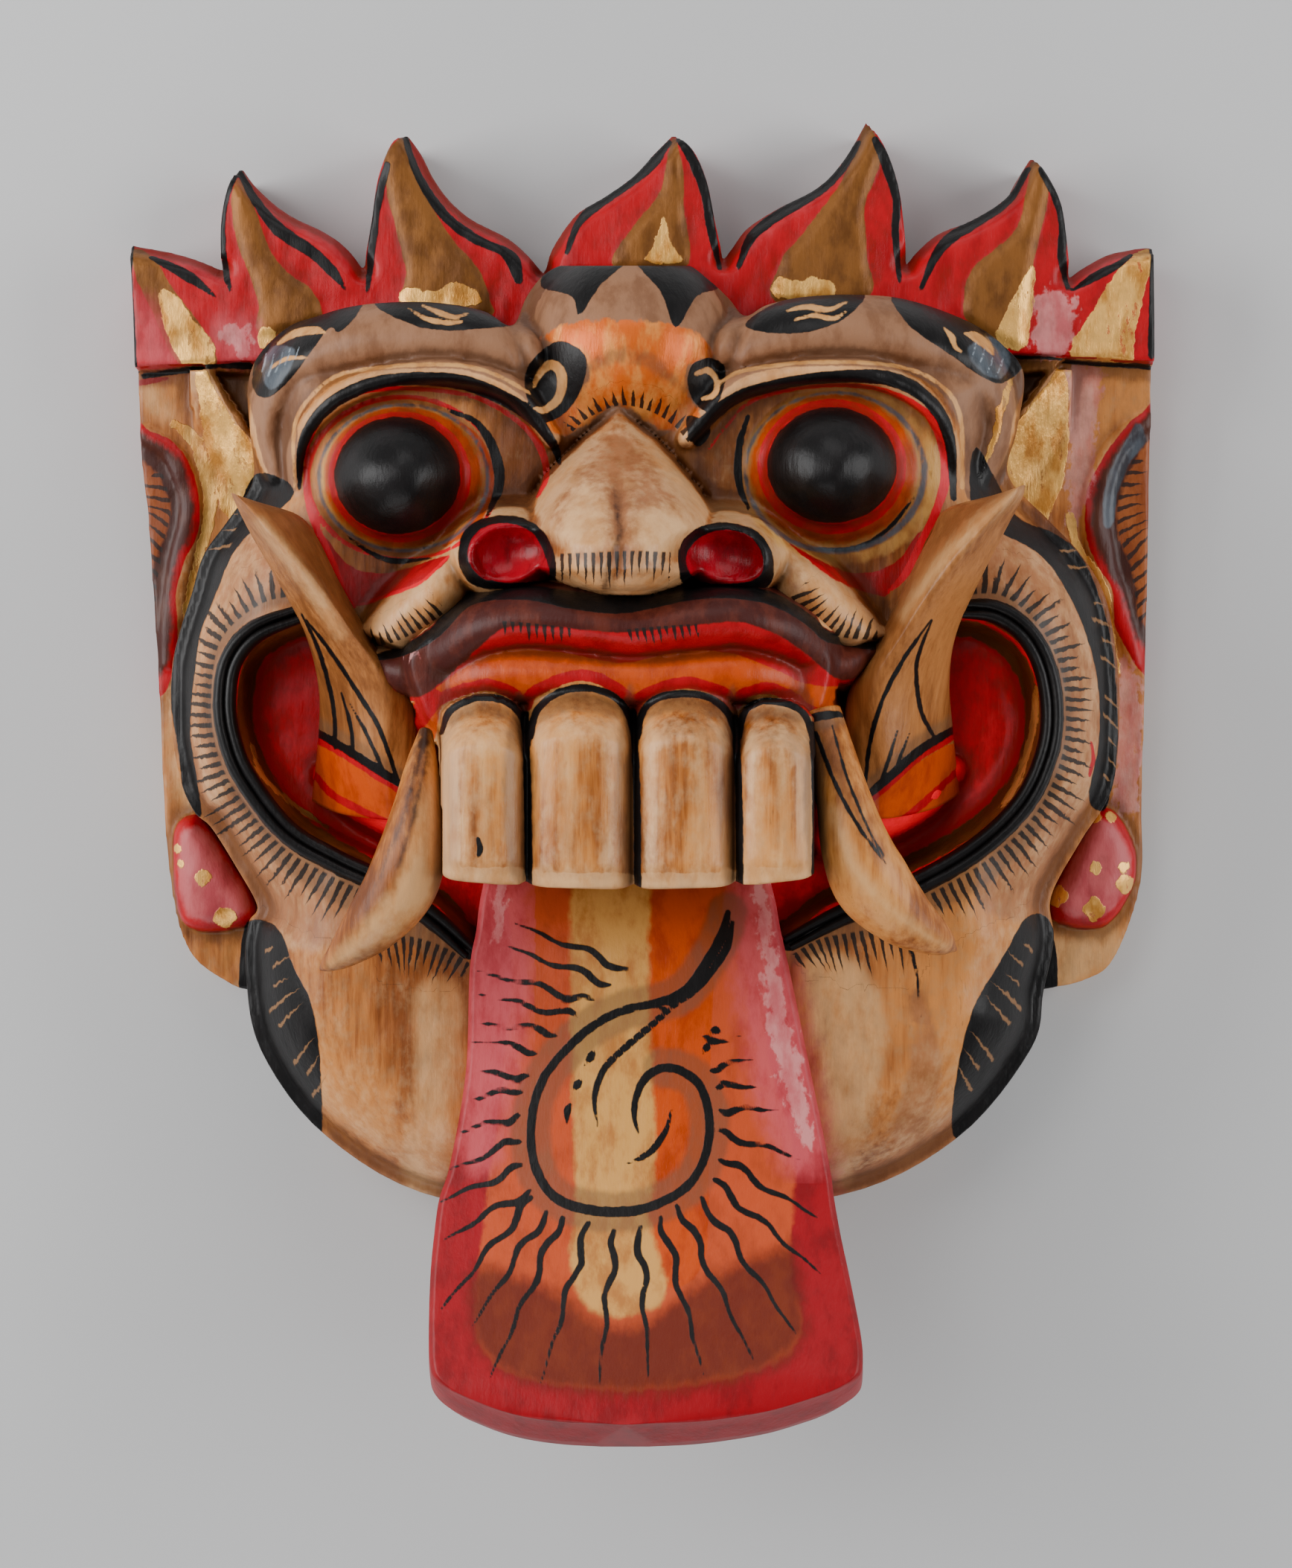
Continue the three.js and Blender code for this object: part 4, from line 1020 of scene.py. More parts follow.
facePaint = [
    # Painted shade on the chin just below the rims round the mouth's corners.
    ("stroke", "glaze",
     [376,1142,16, 440,1186,20, 520,1226,22, 590,1270,18, 625,1300,10],
     [1385,1108,14, 1330,1162,18, 1240,1212,20, 1120,1258,16, 1060,1290,8]),
    # Ring bands round the mouth corners, browner than the chin.
    ("area", "tanBand",
     [335,712, 310,750, 290,800, 270,850, 260,900, 255,950, 255,1000, 264,1060, 285,1120, 330,1190,
      380,1270, 470,1260, 480,1180, 400,1120, 320,1030, 312,930, 340,850, 420,800, 440,720, 390,690],
     [1350,700, 1400,745, 1434,789, 1462,855, 1478,927, 1478,998, 1466,1074, 1440,1136, 1380,1235,
      1310,1200, 1380,1080, 1406,1000, 1400,900, 1350,830, 1270,800, 1280,730]),
    ("area", "bronze", [325,480, 345,436, 430,400, 520,392, 640,396, 700,400, 740,350, 840,338, 950,352,
     990,400, 1080,380, 1200,380, 1310,420, 1385,480, 1362,560, 1346,650, 1300,670, 1288,570, 1258,522,
     1198,497, 1098,492, 1005,504, 935,556, 880,588, 832,556, 782,588, 738,566, 698,530, 650,504, 598,495,
     500,498, 452,506, 417,537, 400,570, 398,660, 362,640, 340,560]),
    ("area", "copper", [726,455, 760,436, 800,430, 840,430, 900,436, 940,450, 958,478, 924,492, 922,525,
     942,562, 905,580, 870,566, 832,544, 800,560, 762,584, 722,572, 762,552, 790,510, 782,478, 748,462]),
    ("stroke", "glaze", [790,496,5, 815,482,9, 841,477,11, 868,482,10, 896,504,7, 920,524,3]),
    ("stroke", "tanLine",
     [396,655,2, 396,572,2.5, 418,533,2.5, 455,504,2.5, 520,493,2.5, 600,490,2.5, 655,499,2.5, 712,528,2],
     [965,515,1.5, 1000,498,2.5, 1090,487,2.5, 1200,491,2.5, 1262,516,2.5, 1290,560,3, 1293,655,3]),
    ("stroke", "gold", [1360,504,3, 1346,547,5, 1334,596,4, 1316,640,2]),
]
browPaint = [
    # Brow hair and the forehead's two dark points.
    ("area", "black",
     [503,408, 560,398, 640,404, 692,434, 650,441, 590,444, 545,433],
     [340,522, 344,480, 366,450, 425,414, 484,402, 478,425, 456,446, 444,440, 425,462, 398,500, 362,534],
     [1001,436, 1040,408, 1100,392, 1162,394, 1132,430, 1080,447, 1030,447],
     [1198,398, 1240,400, 1300,422, 1350,452, 1378,486, 1346,515, 1312,502, 1280,478, 1245,456, 1215,430],
     [726,384, 752,350, 842,345, 806,384, 778,424, 768,398],
     [852,346, 920,350, 965,385, 936,398, 908,440, 888,392]),
    # Blue-grey painted sheen on the outer brow patches.
    ("area", "slate",
     [352,498, 366,466, 396,470, 388,500, 364,524],
     [1300,470, 1330,452, 1358,480, 1345,508, 1318,500]),
]
# Bluish streaks over the outer brow patches, painted sheen on the black: start u, v and how far each stroke
# runs in u and v.
browSheenStreaks = [
    (352,500,6,-26), (360,506,8,-30), (370,500,10,-26), (382,492,8,-24), (394,486,8,-20), (1304,484,8,-26),
    (1314,494,10,-30), (1326,502,10,-28), (1338,506,10,-26),
]
curlPaint = [
    ("area", "black",
     [718,480, 750,458, 779,470, 789,494, 774,536, 752,560, 729,566, 710,540, 705,508],
     [930,490, 953,481, 974,494, 971,526, 955,554, 932,540, 924,512]),
    ("stroke", "tanLine",
     [718,520,2, 722,508,4, 739,490,6, 754,502,7, 753,530,6, 734,550,5, 716,548,2],
     [936,502,3, 952,498,4, 963,512,4, 960,530,4, 944,536,2],
     [374,462,2, 396,448,5, 424,444,5, 440,448,1],
     [364,494,1.5, 386,482,3, 412,480,2],
     [548,414,1, 572,428,3, 600,434,3, 622,432,1],
     [566,410,1, 590,420,3.5, 610,426,3, 628,422,1],
     [1056,418,1, 1084,412,3.5, 1112,416,3.5, 1138,406,1],
     [1066,430,1, 1094,424,3, 1120,428,3, 1138,418,1],
     [1296,448,1, 1310,452,6, 1326,464,6, 1336,478,1],
     [1268,440,1, 1278,452,4, 1284,466,3, 1294,474,1]),
]


def paintFace(coats):
    coats.weatherAndShade(carved["face"])
    for middle in ringMiddle.values():
        coats.stroke("glaze", [[u, v, 10] for u, v, length in middle])
    layRows(coats, facePaint)
    paintEyes(coats)
    layRows(coats, browPaint)
    for u, v, du, dv in browSheenStreaks:
        coats.stroke("browSheen", [[u, v, 0.8], [u + du * 0.6, v + dv * 0.5, 1.3], [u + du, v + dv, 0.6]])
    layRows(coats, curlPaint)
    paintNose(coats)
    paintMouth(coats)
    paintHair(coats)


eyePaint = [
    # Left eye, from its socket inwards.
    ("stroke", "ringRed",
     [414,596,3, 432,560,4, 470,532,4, 520,522,3.5, 600,526,3, 655,540,3.5, 705,574,4, 728,606,5,
      734,640,4, 722,668,2],
     [414,590,3, 411,650,4, 420,696,5, 442,745,5, 462,792,4, 474,816,3],
     [474,816,2, 520,800,2.5, 566,782,2, 604,746,1.5]),
    ("area", "red", [436,722, 470,760, 520,770, 604,746, 560,784, 472,816, 452,775]),
    ("area", "deepRed", [456,762, 510,776, 575,764, 530,790, 472,808]),
    ("area", "umber", [610,530, 680,552, 722,592, 738,628, 705,690, 660,680, 668,620, 640,560]),
    ("ring", "ringRed", (541,642,131,112), (542,643,125,106)),
    ("ring", "tanBand", (542,643,125,106), (542,642,115,99)),
    ("ring", "slate", (542,642,116,100), (542,642,111,96)),
    ("ring", "orange", (541,641,106,95)),
    ("ring", "goldTan", (541,641,111,98), (541,641,107,95)),
    ("stroke", "orange", [602,560,4, 636,590,9, 650,626,12, 650,662,12, 634,702,9, 598,730,5]),
    ("stroke", "black",
     [600,550,2, 640,568,5, 664,606,7, 671,650,7, 655,692,2],
     [466,720,1, 500,744,3, 532,754,4, 580,750,1]),
    ("ring", "ringRed", (537,641,96,88)),
    ("ring", "black", (534,639,85,79)),
    # Right eye.
    ("stroke", "ringRed", [952,604,1.5, 980,568,2, 1012,538,2.5, 1087,520,2.5, 1173,521,3, 1237,549,5,
     1264,587,7, 1271,638,7, 1260,681,6, 1240,724,5, 1216,772,5, 1194,795,3]),
    ("area", "red", [1060,730, 1110,757, 1150,770, 1200,758, 1238,712, 1220,762, 1196,796, 1180,800,
     1120,778]),
    ("area", "deepRed", [1100,762, 1150,778, 1205,762, 1188,792, 1160,792]),
    ("area", "umber", [1002,540, 1040,530, 1010,560, 996,620, 1000,670, 972,680, 930,640, 950,590]),
    ("ring", "goldTan", (1131,639,136,117), (1124,635,122,109)),
    ("ring", "slate", (1123,635,123,109), (1121,633,117,104)),
    ("ring", "orange", (1120,631,114,102)),
    ("ring", "goldTan", (1121,630,117,105), (1120,630,113,101)),
    ("stroke", "black",
     [1005,560,3, 993,600,5, 993,650,5, 1006,684,2],
     [1084,738,1.5, 1150,736,3, 1194,710,3, 1228,668,2]),
    ("ring", "ringRed", (1118,627,100,91)),
    ("ring", "black", (1118,625,87,78)),
    ("stroke", "black",
     [402,656,3, 407,596,7, 438,548,9, 493,518,9, 552,509,9, 622,514,10, 686,540,10, 720,566,9, 745,600,6,
      752,624,2],
     [932,586,9, 955,560,9, 1004,528,8, 1100,508,8, 1196,509,10, 1250,540,9, 1276,590,8, 1281,670,4]),
    ("area", "black", [922,560, 940,562, 955,580, 940,600, 926,588]),
]


def paintEyes(coats):
    layRows(coats, eyePaint)


nosePaint = [
    ("stroke", "umber",
     [828,562,8, 784,596,10, 752,628,10, 726,656,9, 706,692,7, 708,730,5],
     [832,562,8, 880,596,10, 925,640,10, 958,676,8, 968,712,6]),
    ("area", "tanBand", [830,575, 870,610, 910,650, 940,690, 950,720, 900,735, 862,762, 800,762, 762,738,
     720,722, 726,680, 760,640, 790,605]),
    ("area", "umber", [830,566, 880,604, 872,650, 836,640, 800,650, 786,604]),
    ("stroke", "umber", [820,640,3, 824,680,2.5, 828,723,2.5, 816,790,2.5]),
    ("stroke", "dusk", [824,660,0.5, 830,690,1.2, 832,720,1.4, 818,760,1.4, 812,792,0.8]),
    # The two pale lobes of the nose are painted highlights.
    ("area", "pale",
     [780,650, 812,670, 812,730, 780,740, 752,710],
     [858,690, 900,680, 930,720, 900,750, 862,740]),
    ("stroke", "pale",
     [612,790,5, 606,745,7, 618,706,7, 650,688,5, 700,690,4],
     [960,682,5, 1004,684,7, 1046,708,7, 1056,745,7, 1052,786,5],
     [596,770,8, 560,806,9, 530,832,6],
     [1076,770,8, 1110,800,9, 1150,824,6]),
    ("area", "black",
     [616,745, 624,713, 650,696, 690,693, 724,708, 743,738, 747,772, 738,790, 700,792, 646,790, 622,772],
     [912,762, 915,730, 940,708, 975,702, 1012,711, 1034,734, 1040,765, 1030,790, 990,794, 925,790]),
    ("area", "nostril",
     [628,742, 640,716, 665,704, 696,706, 720,722, 734,752, 737,776, 716,782, 670,782, 640,771],
     [922,760, 928,735, 950,717, 980,712, 1008,721, 1024,745, 1023,770, 1002,782, 944,782]),
    ("ticks", "tick", [750,744,46, 800,742,50, 850,740,50, 902,742,44], 10.5, 1, 0.15),
    ("ticks", "tick", [478,872,30, 520,866,34, 562,848,36, 600,822,34], 11, -1, 0.5),
    ("ticks", "tick", [1060,800,40, 1090,834,44, 1130,856,44, 1180,860,34], 13, -1, -0.9),
    ("ticks", "tick", [768,582,20, 790,562,24, 832,545,26, 872,552,26, 905,572,24, 926,596,18], 11, -1,
     0.2),
    ("stroke", "umber",
     [480,858,4, 520,826,5, 560,784,5, 600,746,4],
     [1190,846,4, 1150,812,5, 1104,766,5, 1068,730,4],
     [604,806,5, 580,836,5, 540,866,5]),
]


def paintNose(coats):
    layRows(coats, nosePaint)


lowerGumPaint = [
    ("stroke", "orange",
     [446,1058,6, 480,1082,12, 530,1108,15, 580,1122,14],
     [1276,1048,6, 1236,1082,12, 1180,1114,15, 1120,1130,14]),
    ("stroke", "gold",
     [1392,925,3, 1388,980,5, 1366,1050,5, 1345,1086,2],
     [338,1000,2, 352,1040,3, 390,1078,3, 440,1112,2]),
]
chinPaint = [
    ("ticks", "tick", [500,1262,50, 550,1258,56, 600,1274,54, 634,1296,40], 12, 1, -0.4),
    ("ticks", "tick", [1062,1284,36, 1100,1262,50, 1150,1252,62, 1200,1244,70, 1245,1240,50], 12, 1, -0.3),
    ("stroke", "black", [1221,1262,3, 1232,1310,2.5, 1237,1366,1]),
    ("stroke", "red", [1466,998,2, 1469,1020,3, 1464,1042,2]),
    # Chin: paler next to the tongue.
    ("area", "pale",
     [1080,1290, 1160,1300, 1190,1400, 1150,1560, 1120,1590, 1100,1450],
     [560,1330, 620,1330, 612,1440, 590,1600, 540,1596, 560,1460]),
    ("stroke", "tanBand",
     [440,1530,12, 520,1580,16, 600,1606,14],
     [1100,1604,12, 1180,1584,20, 1262,1536,24, 1300,1490,16],
     [1232,1340,10, 1244,1430,22, 1220,1520,24]),
    ("stroke", "worn", [1066,1290,4, 1090,1420,7, 1112,1540,6, 1122,1600,3]),
]


def paintMouth(coats):
    inside = depthInside(coats.u, coats.v, mouthOutline)
    everywhere = slice(None)
    coats.lay("blade", everywhere, np.where(inside > -1, inside + 0.5, -9.0))
    coats.lay("redWall", everywhere, np.where(inside > 1, inside - 5.4, -9.0))
    coats.lay("redWall", everywhere, 0.45 - np.abs(inside - 0.9))
    for sweep in rimSweeps:
        coats.stroke("black", [[u + 1.5 * outU, v + 1.5 * outV, 15 * full]
                               for u, v, outU, outV, full in sweep])
    layRows(coats, lowerGumPaint)
    coats.ticks("tick", [[u, v, length] for u, v, length in ringMiddle["left"]], 13, 1, 0.3)
    coats.ticks("tick", [[u, v, length] for u, v, length in ringMiddle["right"]], 13, -1, -0.3)
    layRows(coats, chinPaint)


upperGumPaint = [
    ("area", "orange", [540,985, 560,935, 600,900, 650,872, 760,870, 850,880, 940,870, 1040,880, 1090,900,
     1140,900, 1150,970, 1100,1010, 1085,950, 1030,922, 985,948, 919,916, 849,955, 782,906, 703,946,
     654,918, 600,936, 580,1000]),
]
lipPaint = [
    ("stroke", "umber", [640,820,3, 720,812,5, 800,822,5, 900,818,6, 1000,806,5, 1060,830,3]),
    ("stroke", "black", [498,885,4, 542,874,7, 583,851,8, 623,809,9, 664,797,10, 715,797,10, 766,806,12,
     828,812,13, 873,806,12, 924,796,11, 970,794,10, 1021,800,9, 1057,814,8, 1093,838,7, 1113,856,7,
     1172,869,5]),
    ("stroke", "red",
     [546,1000,8, 560,960,11, 585,936,10],
     [560,985,5, 580,950,8, 602,934,8, 654,920,8, 690,932,8, 704,948,9, 720,928,8, 782,907,8, 836,930,8,
      849,954,9, 864,935,8, 919,917,8, 970,930,8, 985,946,9, 1000,932,8, 1032,925,8, 1066,938,8,
      1082,952,8, 1112,962,6]),
    ("stroke", "black",
     [593,985,3, 604,956,5, 632,940,5, 654,937,5, 682,944,5, 702,966,5, 709,1000,5],
     [712,990,5, 722,954,5, 748,932,5, 782,924,5, 818,932,5, 842,954,5, 853,990,5],
     [856,990,5, 864,956,5, 884,938,5, 919,932,5, 954,938,5, 978,958,5, 990,990,5],
     [992,990,5, 1000,958,5, 1016,945,5, 1036,942,5, 1064,948,5, 1082,962,5, 1092,990,5],
     [706,960,5, 709,1080,5.5, 711,1200,5],
     [851,960,5, 856,1080,5, 857,1205,5],
     [988,965,5, 993,1080,5, 994,1205,5],
     [1092,975,5, 1096,1080,5, 1094,1192,4],
     [642,1127,3, 645,1140,4.5, 643,1150,3]),
    ("stroke", "umber", [594,985,2, 592,1080,2, 594,1180,1.5]),
]
# The gaps between the teeth, as left and right edge, top and foot, darkened with glaze as painted shade.
toothGaps = [
    (676,706,950,1170), (826,852,940,1190), (964,990,945,1190), (1078,1094,955,1180),
]
toothGlaze = [
    ("stroke", "glaze",
     [606,968,7, 640,950,9, 680,958,8],
     [722,962,9, 770,942,12, 836,958,9],
     [866,958,8, 915,946,11, 976,962,8],
     [1002,964,7, 1034,956,9, 1080,966,7]),
]
# Painted highlights, pale streaks down the teeth: u, top, foot and half width.
toothHighlights = [
    (650,1010,1176,6), (622,1020,1170,5), (762,970,1186,6), (818,980,1186,4), (876,980,1186,6),
    (940,990,1180,5), (1012,990,1178,6), (1050,980,1178,6),
]
toothPaint = [
    ("stroke", "pale", [600,1172,6, 700,1180,6, 850,1186,6, 980,1186,6, 1088,1176,6]),
    ("area", "wornWhite", [549,871, 556,870, 558,880, 551,882]),
    ("ticks", "tick", [672,834,22, 720,838,26, 770,844,22], 11, 1, -0.3),
    ("ticks", "tick", [840,846,16, 880,842,24, 940,838,20], 10, 1, -0.3),
]


def paintUpperJaw(coats):
    coats.weatherAndShade(carved["upperJaw"])
    layRows(coats, upperGumPaint)
    lipTop = [496,890, 542,866, 583,838, 623,792, 664,776, 715,776, 766,786, 828,790, 873,785, 924,775,
        970,774, 1021,780, 1057,796, 1093,824, 1113,846, 1176,862]
    coats.area("red", lipTop + [1164,905, 1129,922, 1083,918, 1042,900, 991,880, 940,874, 889,880, 848,890,
        807,887, 756,877, 695,872, 644,885, 600,914, 560,942, 527,928])
    coats.area("burgundy", lipTop + [1166,900, 1129,914, 1085,880, 1042,852, 991,836, 920,842, 830,850,
        740,842, 680,844, 646,868, 612,900, 566,936, 527,926])
    layRows(coats, lipPaint)
    # Painted shade in the gaps between the teeth.
    for left, right, top, foot in toothGaps:
        middle = 0.5 * (top + foot)
        coats.area("glaze", [left + 12, top, right, top, right, foot, left + 10, foot, left, middle])
    layRows(coats, toothGlaze)
    # Painted highlights down each tooth.
    for u, top, foot, half in toothHighlights:
        coats.stroke("pale", [[u - 2, top, half * 0.5], [u + 2, 0.5 * (top + foot), half], [u, foot, half]])
    layRows(coats, toothPaint)


# Per tusk, the umber face area is its shaded inner facet, painted shade, and the pale stroke beside it a
# painted highlight.
tuskPaint = {
    "left": {
        "gum": [415,1000, 470,1024, 520,1052, 560,1072, 580,1110, 480,1108, 400,1085],
        "base": [[426, 984, 5], [470, 1010, 6], [512, 1037, 6], [550, 1062, 5]],
        "lower": [418,1036,4, 450,1070,5, 520,1106,5],
        "veins": [
            [405,825,1.5, 422,858,2.6, 440,912,3, 449,960,3, 450,1005,2.5],
            [410,832,1.5, 440,870,2.8, 480,930,3.2, 510,980,3.2, 535,1050,2.5],
            [458,930,1, 470,970,2.8, 475,1012,2.5],
            [470,945,1, 492,985,2.8, 515,1035,2.5],
        ],
        "pale": [350,702,5, 385,747,6, 425,800,7, 455,850,5],
        "face": [318,664, 350,664, 400,676, 430,720, 470,810, 500,880, 455,830, 410,770, 362,706],
    },
    "right": {
        "gum": [1290,1000, 1240,1020, 1195,1050, 1150,1080, 1135,1120, 1200,1120, 1300,1060],
        "base": [[1282, 980, 5], [1236, 1008, 6], [1195, 1044, 6], [1158, 1076, 5]],
        "lower": [1290,1032,4, 1240,1080,5, 1185,1122,5],
        "veins": [
            [1252,832,1, 1218,880,3, 1188,935,3.2, 1169,998,3, 1162,1059,2.5],
            [1252,834,1.5, 1236,875,2.8, 1231,906,3, 1238,957,3, 1258,995,2.5],
            [1206,980,1, 1196,1015,2.8, 1184,1050,2.5],
            [1222,985,1, 1212,1010,2.4, 1204,1034,2],
        ],
        "pale": [1368,660,4, 1312,706,6, 1258,764,7, 1214,826,5],
        "face": [1376,654, 1340,660, 1276,682, 1238,742, 1190,826, 1172,880, 1214,824, 1256,762, 1312,704],
    },
}


def paintTusk(coats, side):
    look = tuskPaint[side]
    # Painted shade on the inner facet and a painted highlight along the ridge.
    coats.area("umber", look["face"])
    coats.stroke("pale", look["pale"])
    coats.area("orange", look["gum"])
    coats.stroke("red", [[u, v + 9, 5] for u, v, half in look["base"]])
    coats.stroke("red", look["lower"])
    for vein in look["veins"]:
        coats.stroke("black", vein)
    # Painted shade just above the black line at the tusk's base.
    coats.stroke("glaze", [[u, v - 12, 9] for u, v, half in look["base"]])
    coats.stroke("black", look["base"])


# Along each fang the glaze is painted shade on its side, and the pale area and stroke are painted highlights.
fangPaint = {
    "left": [
        ("stroke", "glaze", [592,1000,5, 594,1080,9, 592,1170,10, 585,1210,4]),
        ("stroke", "umber", [572,990,10, 556,1060,10, 532,1140,8, 505,1200,4]),
        ("stroke", "dusk",
         [572,982,9, 566,1006,6, 560,1040,2],
         [560,1020,1.2, 544,1090,1.8, 522,1150,1.6, 506,1190,0.8],
         [574,1010,0.8, 562,1070,1.4, 546,1130,1.2, 534,1165,0.6]),
        ("area", "pale", [584,1050, 588,1180, 566,1226, 510,1272, 445,1298, 470,1262, 520,1206, 552,1140,
         566,1080]),
    ],
    "right": [
        ("stroke", "glaze", [1100,1000,6, 1102,1090,8, 1108,1180,8]),
        ("stroke", "umber", [1108,972,16, 1128,1040,12, 1156,1100,9, 1190,1160,4]),
        ("stroke", "glaze", [1086,974,8, 1110,972,8, 1134,966,6]),
        ("stroke", "black",
         [1086,966,5, 1104,962,6, 1124,960,5, 1132,962,2],
         [1096,985,3, 1122,1052,3, 1152,1108,2.5, 1190,1160,1.5],
         [1118,975,1.5, 1140,1050,2, 1170,1120,2, 1188,1150,1]),
        ("stroke", "pale", [1118,1090,5, 1150,1170,8, 1205,1230,7, 1270,1272,4]),
    ],
}


tongueLines = {
    "swirl": [
        [978,1226,4, 972,1250,6.5, 960,1276,7, 926,1326,6.5, 892,1345,6, 840,1357,6, 799,1377,6,
         763,1408,6, 732,1446,6, 716,1491,6, 714,1543,6, 726,1584,6.5, 752,1613,7, 799,1627,7, 851,1627,7,
         892,1614,6.5, 928,1589,6, 949,1548,6, 953,1501,6, 941,1460,6, 918,1440,6, 892,1435,6, 868,1448,6,
         855,1474,5, 852,1500,3.5, 858,1525,1],
        [984,1240,3, 978,1270,5, 960,1300,5, 934,1330,5, 905,1352,4, 880,1374,5, 842,1406,5, 812,1436,5,
         799,1475,4, 803,1514,1],
        [903,1488,1, 894,1520,4, 872,1549,4.5, 838,1566,1],
        [799,1410,1, 794,1420,6, 785,1432,1],
        [782,1448,1, 776,1457,6, 771,1466,1],
        [768,1482,1, 762,1492,5, 762,1512,1],
        [962,1384,6, 952,1390,3, 942,1394,1],
    ],
    "rays": [714,1610,592,1760, 734,1628,634,1783, 755,1636,659,1850, 791,1643,727,1858, 826,1654,804,1865,
        860,1648,872,1858, 888,1636,946,1850, 911,1620,1013,1829, 943,1610,1070,1793, 959,1586,1104,1713,
        968,1558,1098,1636, 843,1302,690,1240, 820,1323,680,1271, 796,1344,641,1305, 776,1366,640,1335,
        747,1389,640,1373, 724,1411,631,1399, 711,1443,623,1443, 701,1464,618,1481, 697,1497,613,1524,
        698,1534,605,1571, 701,1567,592,1615, 711,1599,595,1667, 944,1413,998,1390, 956,1437,1013,1424,
        962,1465,1031,1455, 967,1491,1047,1493, 965,1519,1075,1558],
}


rayShape = {"seed": 11, "sway": 8.5, "pitch": 40, "half": 4.6, "tip": 0.9}     # sheet units


tonguePaint = [
    ("facet", "tongueRed", [560,1100, 1070,1100, 1130,1600, 1200,1960, 540,1960, 560,1700]),
    ("area", "salmon", [704,1150, 1010,1150, 1030,1400, 1068,1560, 1060,1700, 1078,1790, 1020,1840,
     860,1868, 700,1850, 640,1790, 650,1640, 668,1500, 690,1300]),
    ("area", "orange", [862,1120, 975,1120, 960,1300, 952,1500, 945,1700, 870,1700, 866,1400]),
    ("area", "goldTan", [776,1120, 866,1120, 872,1320, 880,1560, 872,1640, 896,1736, 855,1766, 795,1762,
     766,1700, 774,1600, 768,1400]),
    ("area", "brownRed", [638,1706, 710,1718, 768,1748, 800,1776, 856,1782, 904,1750, 960,1712, 1010,1690,
     1066,1680, 1080,1760, 1082,1796, 1022,1845, 860,1873, 700,1856, 635,1794]),
    # The pink and whitish strokes down both flanks of the tongue are painted highlights.
    ("stroke", "worn",
     [680,1170,34, 676,1300,42, 664,1420,40, 646,1550,26],
     [1010,1170,32, 1028,1320,40, 1054,1460,42, 1078,1550,32]),
    ("stroke", "wornWhite",
     [676,1180,7, 670,1260,8],
     [1020,1180,6, 1036,1320,12, 1064,1450,15, 1086,1530,8]),
]


def paintTongue(coats):
    layRows(coats, tonguePaint)
    swirl = inRows(tongueLines["swirl"][0], 3)
    coats.stroke("glaze", [[u, v, 27] for u, v, half in swirl[:22]])
    for line in tongueLines["swirl"]:
        coats.stroke("black", line)
    rng = np.random.default_rng(rayShape["seed"])
    for fromU, fromV, toU, toV in inRows(tongueLines["rays"], 4):
        length = math.hypot(toU - fromU, toV - fromV)
        acrossU, acrossV = -(toV - fromV) / length, (toU - fromU) / length
        phase = rng.uniform(0, 6.28)
        stations = []
        for share in np.linspace(0, 1, 13):
            wave = math.sin(phase + share * length / rayShape["pitch"] * 3.1)
            sway = rayShape["sway"] * wave * (1 - share) ** 1.2 * min(1, share * 5 + 0.2)
            half = rayShape["half"] * (1 - share) ** 0.7 * min(1, 0.5 + share * 4) + rayShape["tip"]
            stations.append([fromU + (toU - fromU) * share + acrossU * sway,
                             fromV + (toV - fromV) * share + acrossV * sway, half])
        coats.stroke("black", stations)


def paintRim(coats):
    coats.lay("black", slice(None), 3.0)


carved = {}              # the boards of the pieces carved so far, by name


# Crown and ears: the slab, left open in the middle where the face's own wood fills it.
def makeSlab():
    board = Board(150, 140, 1575, 1370, block["slabVoxel"], 0)
    shapeSlab(board)
    shapeEars(board)
    board.height += toolMarks(board)
    faceDepth = depthInside(board.u, board.v, faceOutline)
    depth = np.minimum(depthInside(board.u, board.v, slabOutline()), block["lap"] - faceDepth)
    board.height = np.where(faceDepth > 2, np.minimum(board.height, block["underFace"]), board.height)
    board.inside = depth
    carved["crownAndEars"] = board
    field, levels = woodField(board, depth, np.full(board.u.shape, 0.04))
    return thinOut(skinMesh("crownAndEars", board, field, levels), 120000, paintSlab)


# The face, standing on its own part of the back, hollowed for the wearer.
def makeFace():
    board = Board(215, 360, 1525, 1645, block["faceVoxel"], 10)
    shapeFace(board)
    shapeNose(board)
    shapeMouth(board)
    board.height += toolMarks(board)
    depth = depthInside(board.u, board.v, faceOutline)
    hollow = block["hollowTop"] * ramp(depth, block["wall"] - 2, block["wall"] + 10)
    foot = block["browHollowFoot"]
    browHollow = board.dome(**block["browBowl"], base=foot, rise=block["browHollowTop"] - foot)
    browHollow = browHollow * ramp(depth, 19, 32)
    hollow = np.where(depth > block["wall"], np.maximum(hollow, browHollow), hollow)
    gouged = toolMarks(board, scale=24, seed=4) / block["toolMark"]
    hollow += block["hollowMark"] * gouged * ramp(hollow, 1, 8)
    hollow = np.clip(np.minimum(hollow, lowestNear(board, 4.5) - block["leastWall"]), 0, None)
    board.inside = depth
    carved["face"] = board
    field, levels = woodField(board, depth, hollow)
    return thinOut(skinMesh("face", board, field, levels), 190000, paintFace)


